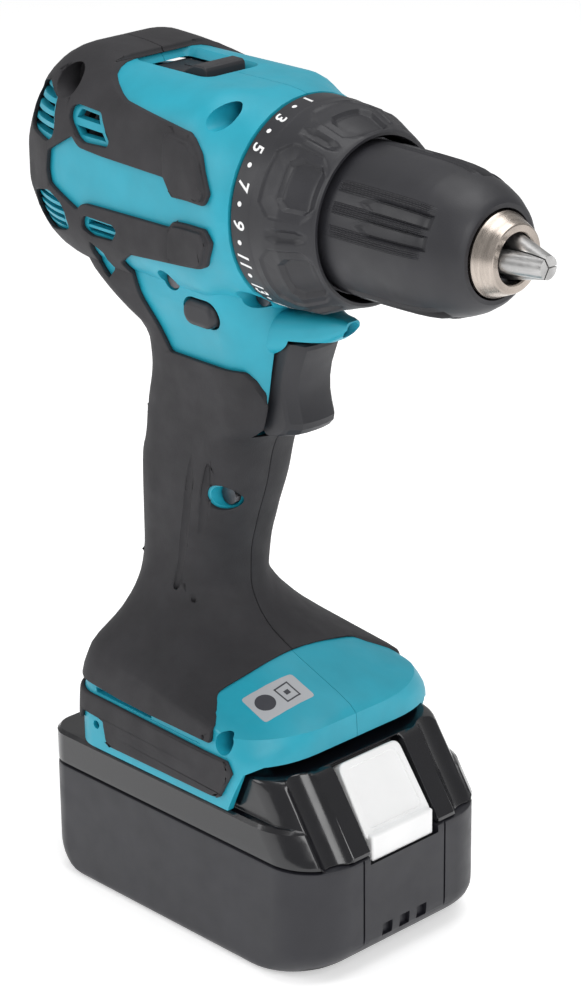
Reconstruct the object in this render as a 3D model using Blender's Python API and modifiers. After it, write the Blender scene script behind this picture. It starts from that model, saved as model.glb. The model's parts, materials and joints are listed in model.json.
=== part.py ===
"""A cordless drill driver: clamshell housing, motor, gearbox, clutch, keyless chuck and slide-on battery.

Places are given in millimetres: x forward from the middle of the battery, y to the tool's left and
z up from the face that the tool stands on. The finished objects are in metres, and their origin is
at the middle of the whole length, on the standing face.
"""
import math

import bmesh
import bpy
from mathutils import Matrix, Vector

# ---------------------------------------------------------------- driving dimensions, millimetres
MM = 0.001
REAR_X = -72.0
JAW_TIP_X = 106.0
ORIGIN_X = (REAR_X + JAW_TIP_X) / 2
GAP = 0.3

SPINDLE_Z = 217.8
BODY_HALF_WIDTH = 29.5
BODY_TOP_Z = 248.4
COLLAR_X = 19.0
WALL = 2.4
COVER_THICKNESS = 1.6
COVER_GAP = 0.5

BATTERY_LENGTH = 113.0
BATTERY_HALF_WIDTH = 37.6
BATTERY_REAR_CORNER = 8.0
BATTERY_FRONT_CORNER = 16.0
BATTERY_SEAM_Z = 36.0
RAIL_TOP_Z = 47.0
BATTERY_TOP_Z = 59.4
BAY_REAR_X = -41.6
FOOT_RIM_Z = 47.6
FOOT_HALF_WIDTH = 38.2
BUMPER_Y = 39.6

GEAR_MODULE = 0.8
RING_TEETH = 42
SUN_TEETH = (12, 18, 18)
PLANET_TEETH = (15, 12, 12)
PLANETS_PER_STAGE = 3
STAGE_X = (-6.5, 3.0, 12.5)
GEAR_WIDTH = 5.0

JAW_SLOPE = math.radians(16.2)
JAW_RADIUS = 3.1
JAW_COUNT = 3

# ---------------------------------------------------------------- colours: base, roughness, metallic
PAINTS = {
    "teal_plastic": ((0.016, 0.330, 0.450, 1.0), 0.42, 0.0),
    "rubber": ((0.032, 0.030, 0.031, 1.0), 0.75, 0.0),
    "black_plastic": ((0.028, 0.028, 0.031, 1.0), 0.50, 0.0),
    "battery_plastic": ((0.026, 0.026, 0.033, 1.0), 0.38, 0.0),
    "white_plastic": ((0.80, 0.80, 0.80, 1.0), 0.35, 0.0),
    "steel": ((0.42, 0.41, 0.40, 1.0), 0.30, 1.0),
    "dark_steel": ((0.16, 0.16, 0.17, 1.0), 0.40, 1.0),
    "nickel": ((0.46, 0.40, 0.34, 1.0), 0.28, 1.0),
    "copper": ((0.72, 0.30, 0.14, 1.0), 0.35, 1.0),
    "board": ((0.02, 0.16, 0.06, 1.0), 0.45, 0.0),
    "lens": ((0.75, 0.78, 0.80, 1.0), 0.12, 0.0),
}


def clear_scene():
    for old in list(bpy.data.objects):
        bpy.data.objects.remove(old, do_unlink=True)


def new_collection(name):
    group = bpy.data.collections.new(name)
    bpy.context.scene.collection.children.link(group)
    return group


def make_paint(name):
    paint = bpy.data.materials.get(name)
    if paint:
        return paint
    colour, roughness, metallic = PAINTS[name]
    paint = bpy.data.materials.new(name)
    paint.use_nodes = True
    shader = paint.node_tree.nodes["Principled BSDF"]
    shader.inputs["Base Color"].default_value = colour
    shader.inputs["Roughness"].default_value = roughness
    shader.inputs["Metallic"].default_value = metallic
    return paint


clear_scene()
DRILL = new_collection("cordless_drill")
CUTTERS = new_collection("cutters")


# ---------------------------------------------------------------- building blocks
def place(x, y, z):
    """A place in millimetres, as metres from the origin."""
    return Vector(((x - ORIGIN_X) * MM, y * MM, z * MM))


def finish_mesh(name, mesh, paint, pivot):
    """Turn a mesh drawn in millimetres into an object whose origin is at its pivot."""
    mesh.transform(Matrix.Translation(-Vector(pivot)))
    mesh.transform(Matrix.Scale(MM, 4))
    piece = bpy.data.objects.new(name, mesh)
    piece.location = place(*pivot)
    if paint:
        mesh.materials.clear()
        mesh.materials.append(make_paint(paint))
        mesh.shade_smooth()
        mesh.set_sharp_from_angle(angle=math.radians(35))
        DRILL.objects.link(piece)
    else:
        piece.hide_render = True
        piece.display_type = "WIRE"
        CUTTERS.objects.link(piece)
    return piece


def finish_bmesh(name, bm, paint, pivot=(0, 0, 0)):
    bmesh.ops.recalc_face_normals(bm, faces=bm.faces)
    mesh = bpy.data.meshes.new(name)
    bm.to_mesh(mesh)
    bm.free()
    return finish_mesh(name, mesh, paint, pivot)


def box(name, low, high, paint=None, pivot=(0, 0, 0), bevel=0.0):
    bm = bmesh.new()
    bmesh.ops.create_cube(bm, size=1.0)
    size = [b - a for a, b in zip(low, high)]
    middle = [(a + b) / 2 for a, b in zip(low, high)]
    bmesh.ops.scale(bm, vec=size, verts=bm.verts)
    bmesh.ops.translate(bm, vec=middle, verts=bm.verts)
    piece = finish_bmesh(name, bm, paint, pivot)
    if bevel:
        round_edges(piece, bevel)
    return piece


def round_edges(piece, width, segments=2, angle=40):
    bevel = piece.modifiers.new("edges", "BEVEL")
    bevel.width = width * MM
    bevel.segments = segments
    bevel.limit_method = "ANGLE"
    bevel.angle_limit = math.radians(angle)
    return bevel


AXIS_TURN = {
    "X": Matrix.Rotation(math.radians(90), 4, "Y"),
    "Y": Matrix.Rotation(math.radians(-90), 4, "X"),
    "Z": Matrix.Identity(4),
}


def rod(name, start, length, radius, axis="X", paint=None, pivot=None, steps=24, end_radius=None):
    """A cylinder or cone whose first face is centred on start and which runs along +axis."""
    bm = bmesh.new()
    far = radius if end_radius is None else end_radius
    bmesh.ops.create_cone(bm, cap_ends=True, segments=steps, radius1=radius, radius2=far, depth=length)
    bmesh.ops.translate(bm, vec=(0, 0, length / 2), verts=bm.verts)
    bmesh.ops.transform(bm, matrix=Matrix.Translation(start) @ AXIS_TURN[axis], verts=bm.verts)
    return finish_bmesh(name, bm, paint, pivot or (0, 0, 0))


def turned(name, profile, paint=None, steps=24, centre_z=SPINDLE_Z, pivot_x=0.0):
    """A piece turned about the spindle line. Profile points are (x, radius), in a loop."""
    mesh = bpy.data.meshes.new(name)
    points = [(radius * MM, 0.0, x * MM) for x, radius in profile]
    count = len(points)
    edges = [(i, (i + 1) % count) for i in range(count)]
    mesh.from_pydata(points, edges, [])
    blank = bpy.data.objects.new(name + "_profile", mesh)
    CUTTERS.objects.link(blank)
    screw = blank.modifiers.new("turn", "SCREW")
    screw.axis = "Z"
    screw.steps = steps
    screw.render_steps = steps
    screw.use_merge_vertices = True
    screw.merge_threshold = 0.00001
    solid = bpy.data.meshes.new_from_object(blank.evaluated_get(bpy.context.evaluated_depsgraph_get()))
    bpy.data.objects.remove(blank, do_unlink=True)
    solid.name = name
    solid.transform(Matrix.Scale(1 / MM, 4))
    solid.transform(Matrix.Translation((0, 0, centre_z)) @ AXIS_TURN["X"])
    return finish_mesh(name, solid, paint, (pivot_x, 0, centre_z))


def outline_mesh(name, outlines, depth):
    """A flat plate from a 2D curve: the first outline is its edge and the others are holes."""
    curve = bpy.data.curves.new(name, "CURVE")
    curve.dimensions = "2D"
    curve.fill_mode = "BOTH"
    curve.extrude = depth / 2
    for outline in outlines:
        spline = curve.splines.new("POLY")
        spline.points.add(len(outline) - 1)
        for point, (u, v) in zip(spline.points, outline):
            point.co = (u, v, 0.0, 1.0)
        spline.use_cyclic_u = True
    blank = bpy.data.objects.new(name + "_outline", curve)
    CUTTERS.objects.link(blank)
    mesh = bpy.data.meshes.new_from_object(blank.evaluated_get(bpy.context.evaluated_depsgraph_get()))
    bpy.data.objects.remove(blank, do_unlink=True)
    bm = bmesh.new()
    bm.from_mesh(mesh)
    bmesh.ops.remove_doubles(bm, verts=bm.verts, dist=0.001)
    bmesh.ops.recalc_face_normals(bm, faces=bm.faces)
    bm.to_mesh(mesh)
    bm.free()
    mesh.name = name
    return mesh


# Where the outline's own u, v and thickness directions point.
PLANE_TURN = {
    "XZ": Matrix(((1, 0, 0, 0), (0, 0, -1, 0), (0, 1, 0, 0), (0, 0, 0, 1))),
    "XY": Matrix.Identity(4),
    "YZ": Matrix(((0, 0, 1, 0), (1, 0, 0, 0), (0, 1, 0, 0), (0, 0, 0, 1))),
}
PLANE_OUT = {"XZ": (0, -1, 0), "XY": (0, 0, 1), "YZ": (1, 0, 0)}


def plate(name, outlines, plane, low, high, paint=None, pivot=(0, 0, 0), offset=(0, 0)):
    """A flat outline given thickness between two levels of the axis across its plane."""
    mesh = outline_mesh(name, outlines, high - low)
    mesh.transform(Matrix.Translation((offset[0], offset[1], 0)))
    mesh.transform(PLANE_TURN[plane])
    across = Vector([abs(part) for part in PLANE_OUT[plane]])
    mesh.transform(Matrix.Translation(across * (low + high) / 2))
    return finish_mesh(name, mesh, paint, pivot)


def circle(radius, steps=24, middle=(0, 0), start=0.0):
    angles = [start + 2 * math.pi * i / steps for i in range(steps)]
    return [(middle[0] + radius * math.cos(a), middle[1] + radius * math.sin(a)) for a in angles]


def loft(name, rings, paint=None, pivot=(0, 0, 0)):
    """A closed skin through rings that all have the same number of points.

    Its faces are triangles that all lean one way, so that skins of different growth never cross.
    """
    bm = bmesh.new()
    rows = [[bm.verts.new(point) for point in ring] for ring in rings]
    count = len(rings[0])
    for near, far in zip(rows, rows[1:]):
        for i in range(count):
            j = (i + 1) % count
            bm.faces.new((near[i], near[j], far[j]))
            bm.faces.new((near[i], far[j], far[i]))
    bm.faces.new(rows[0])
    bm.faces.new(rows[-1])
    return finish_bmesh(name, bm, paint, pivot)


def rounded_rectangle(low_u, high_u, low_v, high_v, radius, corner_steps=4):
    points = []
    corners = (
        (high_u - radius, high_v - radius, 0),
        (low_u + radius, high_v - radius, 90),
        (low_u + radius, low_v + radius, 180),
        (high_u - radius, low_v + radius, 270),
    )
    for u, v, start in corners:
        for i in range(corner_steps + 1):
            angle = math.radians(start + 90 * i / corner_steps)
            points.append((u + radius * math.cos(angle), v + radius * math.sin(angle)))
    return points


def boolean(piece, other, operation="DIFFERENCE"):
    modifier = piece.modifiers.new(operation.lower(), "BOOLEAN")
    modifier.operation = operation
    modifier.solver = "EXACT"
    modifier.object = other


def turn_about(piece, middle, angle, axis):
    """Turn an object about a line through a place, given in millimetres."""
    centre = place(*middle)
    turn = Matrix.Translation(centre) @ Matrix.Rotation(angle, 4, axis) @ Matrix.Translation(-centre)
    piece.matrix_basis = turn @ piece.matrix_basis


def copy_as(piece, name, paint=None):
    """A new object from the finished shape of another, in the same place."""
    bpy.context.view_layer.update()
    shape = piece.evaluated_get(bpy.context.evaluated_depsgraph_get())
    mesh = bpy.data.meshes.new_from_object(shape)
    mesh.transform(piece.matrix_world)
    mesh.transform(Matrix.Scale(1 / MM, 4))
    mesh.transform(Matrix.Translation((ORIGIN_X, 0, 0)))
    mesh.name = name
    return finish_mesh(name, mesh, paint, (0, 0, 0))


# ---------------------------------------------------------------- the housing's outer form
# Motor barrel, rear to front: x, half width, top, bottom and corner radius.
BARREL_SECTIONS = (
    (REAR_X + COVER_THICKNESS, 21.0, 232.5, 200.0, 12.5),
    (-69.0, 22.6, 237.5, 197.5, 14.0),
    (-65.5, 24.2, 243.2, 194.4, 15.5),
    (-60.5, 26.4, 247.3, 192.0, 17.0),
    (-53.0, 28.6, 249.9, 190.2, 18.5),
    (-46.0, 29.2, 249.6, 189.3, 19.0),
    (-36.0, BODY_HALF_WIDTH, BODY_TOP_Z + 0.2, 188.6, 18.5),
    (2.0, BODY_HALF_WIDTH, BODY_TOP_Z, 188.0, 17.5),
    (10.0, 30.6, BODY_TOP_Z, 187.2, 26.0),
    (COLLAR_X - 3, 31.0, 248.0, 186.8, 30.3),
    (COLLAR_X, 29.8, 247.4, 188.0, 29.4),
)

# Neck, grip and foot, top to bottom: z, rear x, front x, half width, rear corner radius, then the
# front corners' length along x and breadth along y.
GRIP_SECTIONS = (
    (206.0, -56.0, 14.0, 24.0, 14.0, 14.0, 14.0),
    (192.0, -52.4, 17.0, 23.2, 13.0, 14.0, 14.0),
    (187.3, -47.8, 17.2, 22.6, 12.5, 13.5, 13.5),
    (184.4, -45.0, 17.2, 21.8, 12.5, 13.5, 13.5),
    (179.5, -39.0, 16.8, 20.2, 12.0, 13.0, 13.0),
    (176.8, -34.8, 16.4, 19.4, 12.0, 12.5, 12.5),
    (171.7, -31.8, 15.8, 18.4, 12.0, 12.5, 12.5),
    (164.6, -32.2, 15.0, 17.0, 11.5, 12.0, 12.0),
    (160.0, -33.2, 14.6, 16.2, 11.4, 12.0, 12.0),
    (152.0, -36.0, 13.0, 15.2, 11.4, 12.0, 12.0),
    (149.5, -37.0, 10.0, 15.0, 11.4, 12.0, 12.0),
    (147.0, -37.8, 5.6, 14.8, 11.4, 11.4, 11.4),
    (142.0, -38.6, 2.8, 14.6, 11.4, 11.4, 11.4),
    (130.0, -40.5, -0.2, 14.4, 11.4, 11.4, 11.4),
    (118.0, -40.9, -4.3, 14.2, 11.4, 11.4, 11.4),
    (106.0, -40.9, -7.2, 14.2, 11.4, 12.4, 12.4),
    (98.0, -40.9, -7.4, 15.4, 11.6, 17.0, 14.6),
    (91.0, -40.3, -4.6, 19.9, 12.2, 22.0, 19.0),
    (85.0, -40.8, 1.6, 25.4, 12.4, 29.0, 25.0),
    (80.0, -42.6, 12.6, 30.4, 12.4, 41.0, 30.0),
    (76.0, -43.9, 23.5, 34.4, 12.4, 46.0, 34.0),
    (71.5, -43.7, 34.6, 36.4, 11.0, 26.0, 32.0),
    (69.5, -43.7, 37.0, 36.8, 10.6, 18.0, 27.0),
    (63.0, -44.2, 37.4, 38.0, 10.4, 13.0, 22.0),
    (55.0, -44.5, 37.5, FOOT_HALF_WIDTH, 10.4, 13.0, 22.0),
    (FOOT_RIM_Z, -44.5, 37.5, FOOT_HALF_WIDTH, 10.4, 13.0, 22.0),
)

# Nose below the ring: x, half width, bottom, top and corner radius.
NOSE_SECTIONS = (
    (6.0, 15.5, 172.5, 187.6, 5.0),
    (14.0, 13.4, 174.2, 187.6, 5.0),
    (20.0, 10.8, 175.9, 187.6, 4.6),
    (26.0, 7.6, 177.9, 187.6, 4.0),
    (31.0, 4.6, 180.3, 187.5, 3.0),
    (34.5, 3.4, 182.8, 187.4, 2.0),
    (36.2, 2.6, 184.4, 187.0, 1.2),
)


def barrel_ring(x, half_width, top, bottom, radius, grow):
    outline = rounded_rectangle(
        -half_width - grow, half_width + grow, bottom - grow, top + grow, max(radius + grow, 0.8)
    )
    return [(x, u, v) for u, v in outline]


def grip_outline(rear, front, half_width, radius, length, breadth, steps=5):
    """A level section of the grip: round rear corners, and front corners that are quarter ellipses."""
    points = []
    corners = (
        (front - length, half_width - breadth, length, breadth, 0),
        (rear + radius, half_width - radius, radius, radius, 90),
        (rear + radius, radius - half_width, radius, radius, 180),
        (front - length, breadth - half_width, length, breadth, 270),
    )
    for x, y, reach_x, reach_y, start in corners:
        for i in range(steps + 1):
            angle = math.radians(start + 90 * i / steps)
            points.append((x + reach_x * math.cos(angle), y + reach_y * math.sin(angle)))
    return points


def grown_station(stations, index, grow):
    """Shift a loft's two end stations outwards by the growth, and leave the others."""
    value = stations[index][0]
    if index == 0:
        return value + math.copysign(grow, value - stations[1][0])
    if index == len(stations) - 1:
        return value + math.copysign(grow, value - stations[-2][0])
    return value


def skin(label, grow):
    """The housing's outer form, with every face moved outwards by grow."""
    barrel_rings = []
    for i, (_, half_width, top, bottom, radius) in enumerate(BARREL_SECTIONS):
        x = grown_station(BARREL_SECTIONS, i, grow)
        barrel_rings.append(barrel_ring(x, half_width, top, bottom, radius, grow))
    body = loft(label, barrel_rings)

    grip_rings = []
    for i, (_, rear, front, half_width, radius, length, breadth) in enumerate(GRIP_SECTIONS):
        z = grown_station(GRIP_SECTIONS, i, grow) if i else GRIP_SECTIONS[0][0]
        outline = grip_outline(
            rear - grow, front + grow, half_width + grow, radius + grow, length + grow, breadth + grow
        )
        grip_rings.append([(u, v, z) for u, v in outline])
    grip = loft(label + "_grip", grip_rings)

    nose_rings = []
    for i, (_, half_width, bottom, top, radius) in enumerate(NOSE_SECTIONS):
        if top - bottom + 2 * grow < 1.0:
            continue
        x = grown_station(NOSE_SECTIONS, i, grow) if i else NOSE_SECTIONS[0][0]
        nose_rings.append(barrel_ring(x, half_width, top, bottom, radius, grow))
    nose = loft(label + "_nose", nose_rings)

    boolean(body, grip, "UNION")
    boolean(body, nose, "UNION")
    return body


# ---------------------------------------------------------------- outlines on the housing's sides, x and z
REAR_COVER = (
    (-90, 265), (-31, 265), (-31, 249), (-24.5, 243.8), (4.5, 239), (7.2, 235.5), (10.8, 223.5), (8, 219.8),
    (-4, 219.8), (-6.5, 225.3), (-41.9, 226.3), (-44.3, 229.4), (-55, 224), (-55, 213), (-43.8, 207.8),
    (-41, 210), (-5.2, 211.3), (-3.5, 213.2), (8, 213.2), (11.7, 210), (8.5, 202.2), (-21.3, 199.6),
    (-25.5, 196.6), (-47, 194.6), (-90, 194.6),
)
SIDE_WINDOW = (
    (-46.8, 233), (-44.8, 237.5), (-42.2, 238.2), (-33.8, 237), (-31, 231.5), (-31.3, 228.3), (-42.8, 227.6),
)
LOWER_WINDOW = ((-42.3, 204.6), (-41, 206.6), (-32.4, 206.9), (-29.6, 204.6), (-30.5, 201.6), (-39.8, 202.2))
GRIP_COVER = (
    (-90, 194.2), (-31, 194.2), (-16.8, 170.2), (10.6, 170.2), (12.3, 167.5), (14, 160), (17, 154.5),
    (22, 149.6), (60, 149.6), (60, 92), (11, 80.7), (12.6, 66.6), (-90, 66.6),
)
FOOT_BUMPER = ((-30.5, 57.6), (23.5, 61.2), (26.2, 59), (21.5, 51.2), (18, 50.6), (-26.5, 50.6), (-29.5, 52.4))


SLIDER_WINDOW_X = (-38.0, -10.5)
REAR_BORE = (-48.0, 242.6)

# Case screws: x, z, the head's outer y and the shank's length.
CASE_SCREWS = {
    "case_screw_side": (-11.0, 193.8, -22.5, 26.0),
    "case_screw_front": (16.0, 193.0, -14.5, 20.0),
    "case_screw_grip": (-4.5, 127.5, -9.5, 16.0),
}


def grow_outline(points, amount):
    """Move each point of an outline away from its middle by a fixed distance."""
    middle_u = sum(u for u, _ in points) / len(points)
    middle_v = sum(v for _, v in points) / len(points)
    grown = []
    for u, v in points:
        away = Vector((u - middle_u, v - middle_v))
        away = away.normalized() * (away.length + amount)
        grown.append((middle_u + away.x, middle_v + away.y))
    return grown


def side_box(label, side, low_y=GAP / 2):
    """Everything on one side of the joint between the two halves."""
    if side < 0:
        return box(label, (-120, -80, -20), (140, -low_y, 300))
    return box(label, (-120, low_y, -20), (140, 80, 300))


def side_levels(side, near, far):
    """Two levels of y on one side, lowest first."""
    return (near, far) if side > 0 else (-far, -near)


def side_plate(label, outline, side, near, far):
    low, high = side_levels(side, near, far)
    return plate(label, [outline], "XZ", low, high)


# ---------------------------------------------------------------- housing and its rubber
def housing_cutters():
    """Everything that both housing halves are cut by."""
    cuts = [
        rod("collar_mouth", (12, 0, SPINDLE_Z), 12, 24.0, steps=32),
        box("battery_bay", (BAY_REAR_X, -36.0, 30), (60, 36.0, 60.4)),
        plate("rim_front", [((60, 40), (20.5, 40), (29, 60.0), (37, 62.6), (60, 62.6))], "XZ", -60, 60),
        box("trigger_mouth", (-2, -10.2, 148), (40, 10.2, 180.2)),
        box("slider_window", (SLIDER_WINDOW_X[0], -9.0, 240), (SLIDER_WINDOW_X[1], 9.0, 260)),
        box("lever_window", (-7.5, -40, 181.6), (6.5, 40, 190.4)),
        rod("lamp_hole", (20, 0, 184.2), 30, 2.5, steps=16),
    ]
    for i, (x, z, head_y, length) in enumerate(CASE_SCREWS.values()):
        cuts.append(rod(f"pilot_{i}", (x, head_y, z), length + 3, 1.7, axis="Y", steps=12))
    for i in range(4):
        x = -43.6 + 3.4 * i
        cuts.append(box(f"side_slot_{i}", (x, -60, 229.4), (x + 1.9, 60, 236)))
    for i in range(3):
        x = -39.6 + 3.2 * i
        cuts.append(box(f"low_slot_{i}", (x, -60, 202.8), (x + 1.8, 60, 206)))
    for i in range(4):
        z = 224.5 + 4.0 * i
        cuts.append(box(f"rear_slot_high_{i}", (-90, -20, z), (-52, 20, z + 2.0)))
    for i in range(4):
        z = 196.5 + 3.6 * i
        cuts.append(box(f"rear_slot_low_{i}", (-90, -18, z), (-52, 18, z + 1.9)))
    return cuts


def make_housing():
    outer = skin("outer_form", 0.0)
    inner = skin("inner_form", -WALL)
    cuts = housing_cutters()
    screw_cuts = [
        rod(f"screw_bore_{i}", (x, -60, z), 62.4 + head_y, 3.3, axis="Y", steps=16)
        for i, (x, z, head_y, _) in enumerate(CASE_SCREWS.values())
    ]
    screw_cuts.append(rod("screw_bore_collar", (9.5, -60, 242.2), 38, 3.0, axis="Y", steps=16))
    screw_cuts.append(rod("screw_bore_foot", (21.5, -60, 67.4), 32, 3.0, axis="Y", steps=16))
    screw_cuts.append(rod("screw_bore_rear", (REAR_BORE[0], -60, REAR_BORE[1]), 35.1, 3.4, axis="Y", steps=16))
    for side, name in ((-1, "right"), (1, "left")):
        half = copy_as(outer, "housing_" + name, "teal_plastic")
        boolean(half, inner)
        boolean(half, side_box("half_space_" + name, side), "INTERSECT")
        for cut in cuts:
            boolean(half, cut)
        if side < 0:
            for cut in screw_cuts:
                boolean(half, cut)
        recess = side_plate("bumper_recess_" + name, grow_outline(FOOT_BUMPER, GAP), side, 36.9, 60)
        boolean(half, recess)


def make_covers():
    outside = skin("cover_outside", COVER_THICKNESS)
    inside = skin("cover_inside", COVER_GAP)
    vents = [
        box("rear_window_high", (-100, -19, 223.5), (-56, 19, 240.5)),
        box("rear_window_low", (-100, -17, 196.0), (-56, 17, 209.5)),
    ]
    mouth = box("trigger_clear", (-2, -11, 148.5), (60, 11, 182))
    grip_x, grip_z, _, _ = CASE_SCREWS["case_screw_grip"]
    screw_hole = rod("cover_grip_screw", (grip_x, -60, grip_z), 58, 4.6, axis="Y", steps=16)
    rear_hole = rod("cover_rear_screw", (REAR_BORE[0], -60, REAR_BORE[1]), 58, 3.8, axis="Y", steps=16)
    for side, name in ((-1, "right"), (1, "left")):
        half_space = side_box("cover_half_" + name, side)
        rear = side_plate("rear_cover_" + name, REAR_COVER, side, GAP / 2, 60)
        grip = side_plate("grip_cover_" + name, GRIP_COVER, side, GAP / 2, 60)
        for cover, kind in ((rear, "rear"), (grip, "grip")):
            shape = copy_as(cover, f"{kind}_cover_{name}", "rubber")
            boolean(shape, outside, "INTERSECT")
            boolean(shape, inside)
            boolean(shape, half_space, "INTERSECT")
            if kind == "rear":
                for window in vents:
                    boolean(shape, window)
                boolean(shape, side_plate("window_" + name, SIDE_WINDOW, side, 10, 60))
                boolean(shape, side_plate("low_window_" + name, LOWER_WINDOW, side, 10, 60))
                if side < 0:
                    boolean(shape, rear_hole)
            else:
                boolean(shape, mouth)
                if side < 0:
                    boolean(shape, screw_hole)
            bpy.data.objects.remove(cover, do_unlink=True)
            shape.name = f"{kind}_cover_{name}"
        low, high = side_levels(side, 37.2, BUMPER_Y)
        bumper = plate("foot_bumper_" + name, [FOOT_BUMPER], "XZ", low, high, "rubber")
        round_edges(bumper, 0.6, 1)


def make_screw(name, x, z, head_y, length):
    """A pan head screw that runs from its head into the other half."""
    head = rod(name, (x, head_y, z), 2.2, 2.9, axis="Y", paint="dark_steel", steps=12)
    shank = rod(name + "_shank", (x, head_y + 1.8, z), length, 1.4, axis="Y", steps=12)
    boolean(head, shank, "UNION")
    return head


# ---------------------------------------------------------------- motor
STATOR_X = (-47.0, -19.0)
ROTOR_RADIUS = 11.4
SHAFT_RADIUS = 2.5


def spoked_ring(outer, bore, spokes, spoke_inner, spoke_half, steps=24):
    """The hole of a stator: a circle broken by inward teeth."""
    points = []
    for i in range(spokes):
        middle = 2 * math.pi * i / spokes
        half_root = math.asin(spoke_half / bore)
        half_tip = math.asin(spoke_half * 1.5 / spoke_inner)
        neck = spoke_inner + 1.6
        half_neck = math.asin(spoke_half / neck)
        for radius, angle in (
            (bore, middle - half_root), (neck, middle - half_neck), (spoke_inner, middle - half_tip),
            (spoke_inner, middle), (spoke_inner, middle + half_tip), (neck, middle + half_neck),
            (bore, middle + half_root),
        ):
            points.append((radius * math.cos(angle), radius * math.sin(angle)))
        next_middle = 2 * math.pi * (i + 0.5) / spokes
        points.append((bore * math.cos(next_middle), bore * math.sin(next_middle)))
    return [circle(outer, steps), points]


def axial_plate(name, outlines, x0, x1, paint, pivot_x=0.0, centre=(0.0, 0.0)):
    """A plate across the spindle line, with its outline centred on the line or beside it."""
    offset = (centre[0], SPINDLE_Z + centre[1])
    pivot = (pivot_x, centre[0], SPINDLE_Z + centre[1])
    return plate(name, outlines, "YZ", x0, x1, paint, pivot, offset)


def make_windings():
    """Six slot bundles joined by an end turn ring at each end."""
    x0, x1 = STATOR_X
    front = (x1 + 0.4, x1 + 4.0)
    rear = (x0 - 4.0, x0 - 0.4)
    ring = axial_plate("stator_windings", [circle(20.2, 20), circle(14.0, 20)], *front, "copper")
    back = axial_plate("rear_end_turn", [circle(20.2, 20), circle(14.0, 20)], *rear, None)
    boolean(ring, back, "UNION")
    for i in range(6):
        angle = math.radians(30 + 60 * i)
        middle = (17.4 * math.cos(angle), SPINDLE_Z + 17.4 * math.sin(angle))
        bundle = rod(f"slot_bundle_{i}", (rear[1] - 1.0, *middle), front[0] - rear[1] + 2.0, 2.1, steps=8)
        boolean(ring, bundle, "UNION")


def make_motor():
    x0, x1 = STATOR_X
    axial_plate("stator_core", spoked_ring(23.6, 20.8, 6, 12.0, 3.4), x0, x1, "dark_steel")
    make_windings()
    axial_plate("rotor_core", [circle(ROTOR_RADIUS, 24), circle(SHAFT_RADIUS + GAP, 12)], x0, x1, "dark_steel")
    turned("rotor_shaft", ((-8.0, SHAFT_RADIUS), (-67.5, SHAFT_RADIUS), (-67.5, 0), (-8.0, 0)), "steel", 16)
    turned(
        "motor_fan",
        ((-52.4, 4.5), (-53.4, 21.0), (-54.6, 21.0), (-54.0, 4.5), (-60.0, 4.5), (-60.0, 2.8), (-52.4, 2.8)),
        "black_plastic", 24,
    )
    fan = DRILL.objects["motor_fan"]
    for i in range(9):
        angle = 2 * math.pi * i / 9
        blade = box(f"fan_blade_{i}", (-59.4, 4.0, SPINDLE_Z - 0.6), (-53.7, 20.2, SPINDLE_Z + 0.6))
        turn_about(blade, (0, 0, SPINDLE_Z), angle, "X")
        boolean(fan, blade, "UNION")
    for name, x in (("motor_bearing_rear", -66.5), ("motor_bearing_front", -14.0)):
        axial_plate(name, [circle(7.6, 16), circle(SHAFT_RADIUS + GAP, 10)], x, x + 4.4, "steel")
    axial_plate("sensor_board", [circle(20.0, 16), circle(13.2, 16)], -14.6, -13.4, "board")
    turned(
        "motor_bracket",
        ((-7.6, 21.5), (-12.6, 21.5), (-12.6, 10.6), (-9.2, 10.6), (-9.2, 6.2), (-7.6, 6.2)),
        "dark_steel", 20,
    )


# ---------------------------------------------------------------- gearbox
def tooth_outline(teeth, phase, sign=1):
    """A ring of pointed teeth. A ring gear's teeth point inwards, with sign -1."""
    radius = GEAR_MODULE * teeth / 2
    tip = radius + sign * 0.45 * GEAR_MODULE
    root = radius - sign * 0.95 * GEAR_MODULE
    points = []
    for i in range(teeth):
        for half, reach in ((0, tip), (0.5, root)):
            angle = phase + 2 * math.pi * (i + half) / teeth
            points.append((reach * math.cos(angle), reach * math.sin(angle)))
    return points


def planet_places(stage):
    distance = GEAR_MODULE * (SUN_TEETH[stage] + PLANET_TEETH[stage]) / 2
    for i in range(PLANETS_PER_STAGE):
        angle = math.radians(90) + 2 * math.pi * i / PLANETS_PER_STAGE
        yield i, angle, (distance * math.cos(angle), distance * math.sin(angle))


def planet_phase(stage, angle):
    """The turn that puts a planet's gap on the sun tooth it faces, for a sun tooth at angle 0."""
    sun = SUN_TEETH[stage]
    planet = PLANET_TEETH[stage]
    return angle + math.pi + sun / planet * angle - math.pi / planet


def ring_phase(stage):
    _, angle, _ = next(planet_places(stage))
    planet = PLANET_TEETH[stage]
    return angle + planet / RING_TEETH * (planet_phase(stage, angle) - angle) - math.pi / RING_TEETH


def make_stage(stage, names):
    """The planets and the ring gear of one stage. The ring's outside is round."""
    planet_name, ring_name = names
    x = STAGE_X[stage]
    for i, angle, middle in planet_places(stage):
        outline = tooth_outline(PLANET_TEETH[stage], planet_phase(stage, angle))
        axial_plate(
            f"{planet_name}_{i + 1}", [outline, circle(1.9, 8)], x, x + GEAR_WIDTH, "steel", x, middle
        )
    ring = [circle(19.6, 20), tooth_outline(RING_TEETH, ring_phase(stage), -1)]
    axial_plate(ring_name, ring, x - 0.2, x + GEAR_WIDTH + 0.2, "dark_steel")


def make_carrier(name, stage, paint="steel"):
    """A plate in front of its planets, with pins through them and the next stage's sun."""
    x = STAGE_X[stage] + GEAR_WIDTH + 0.4
    carrier = axial_plate(name, [circle(13.6, 20)], x, x + 2.6, paint, x)
    for i, _, middle in planet_places(stage):
        pin = rod(
            f"{name}_pin_{i}", (x - GEAR_WIDTH - 0.2, middle[0], SPINDLE_Z + middle[1]),
            GEAR_WIDTH + 0.8, 1.5, steps=8,
        )
        boolean(carrier, pin, "UNION")
    return carrier, x + 2.6


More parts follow.
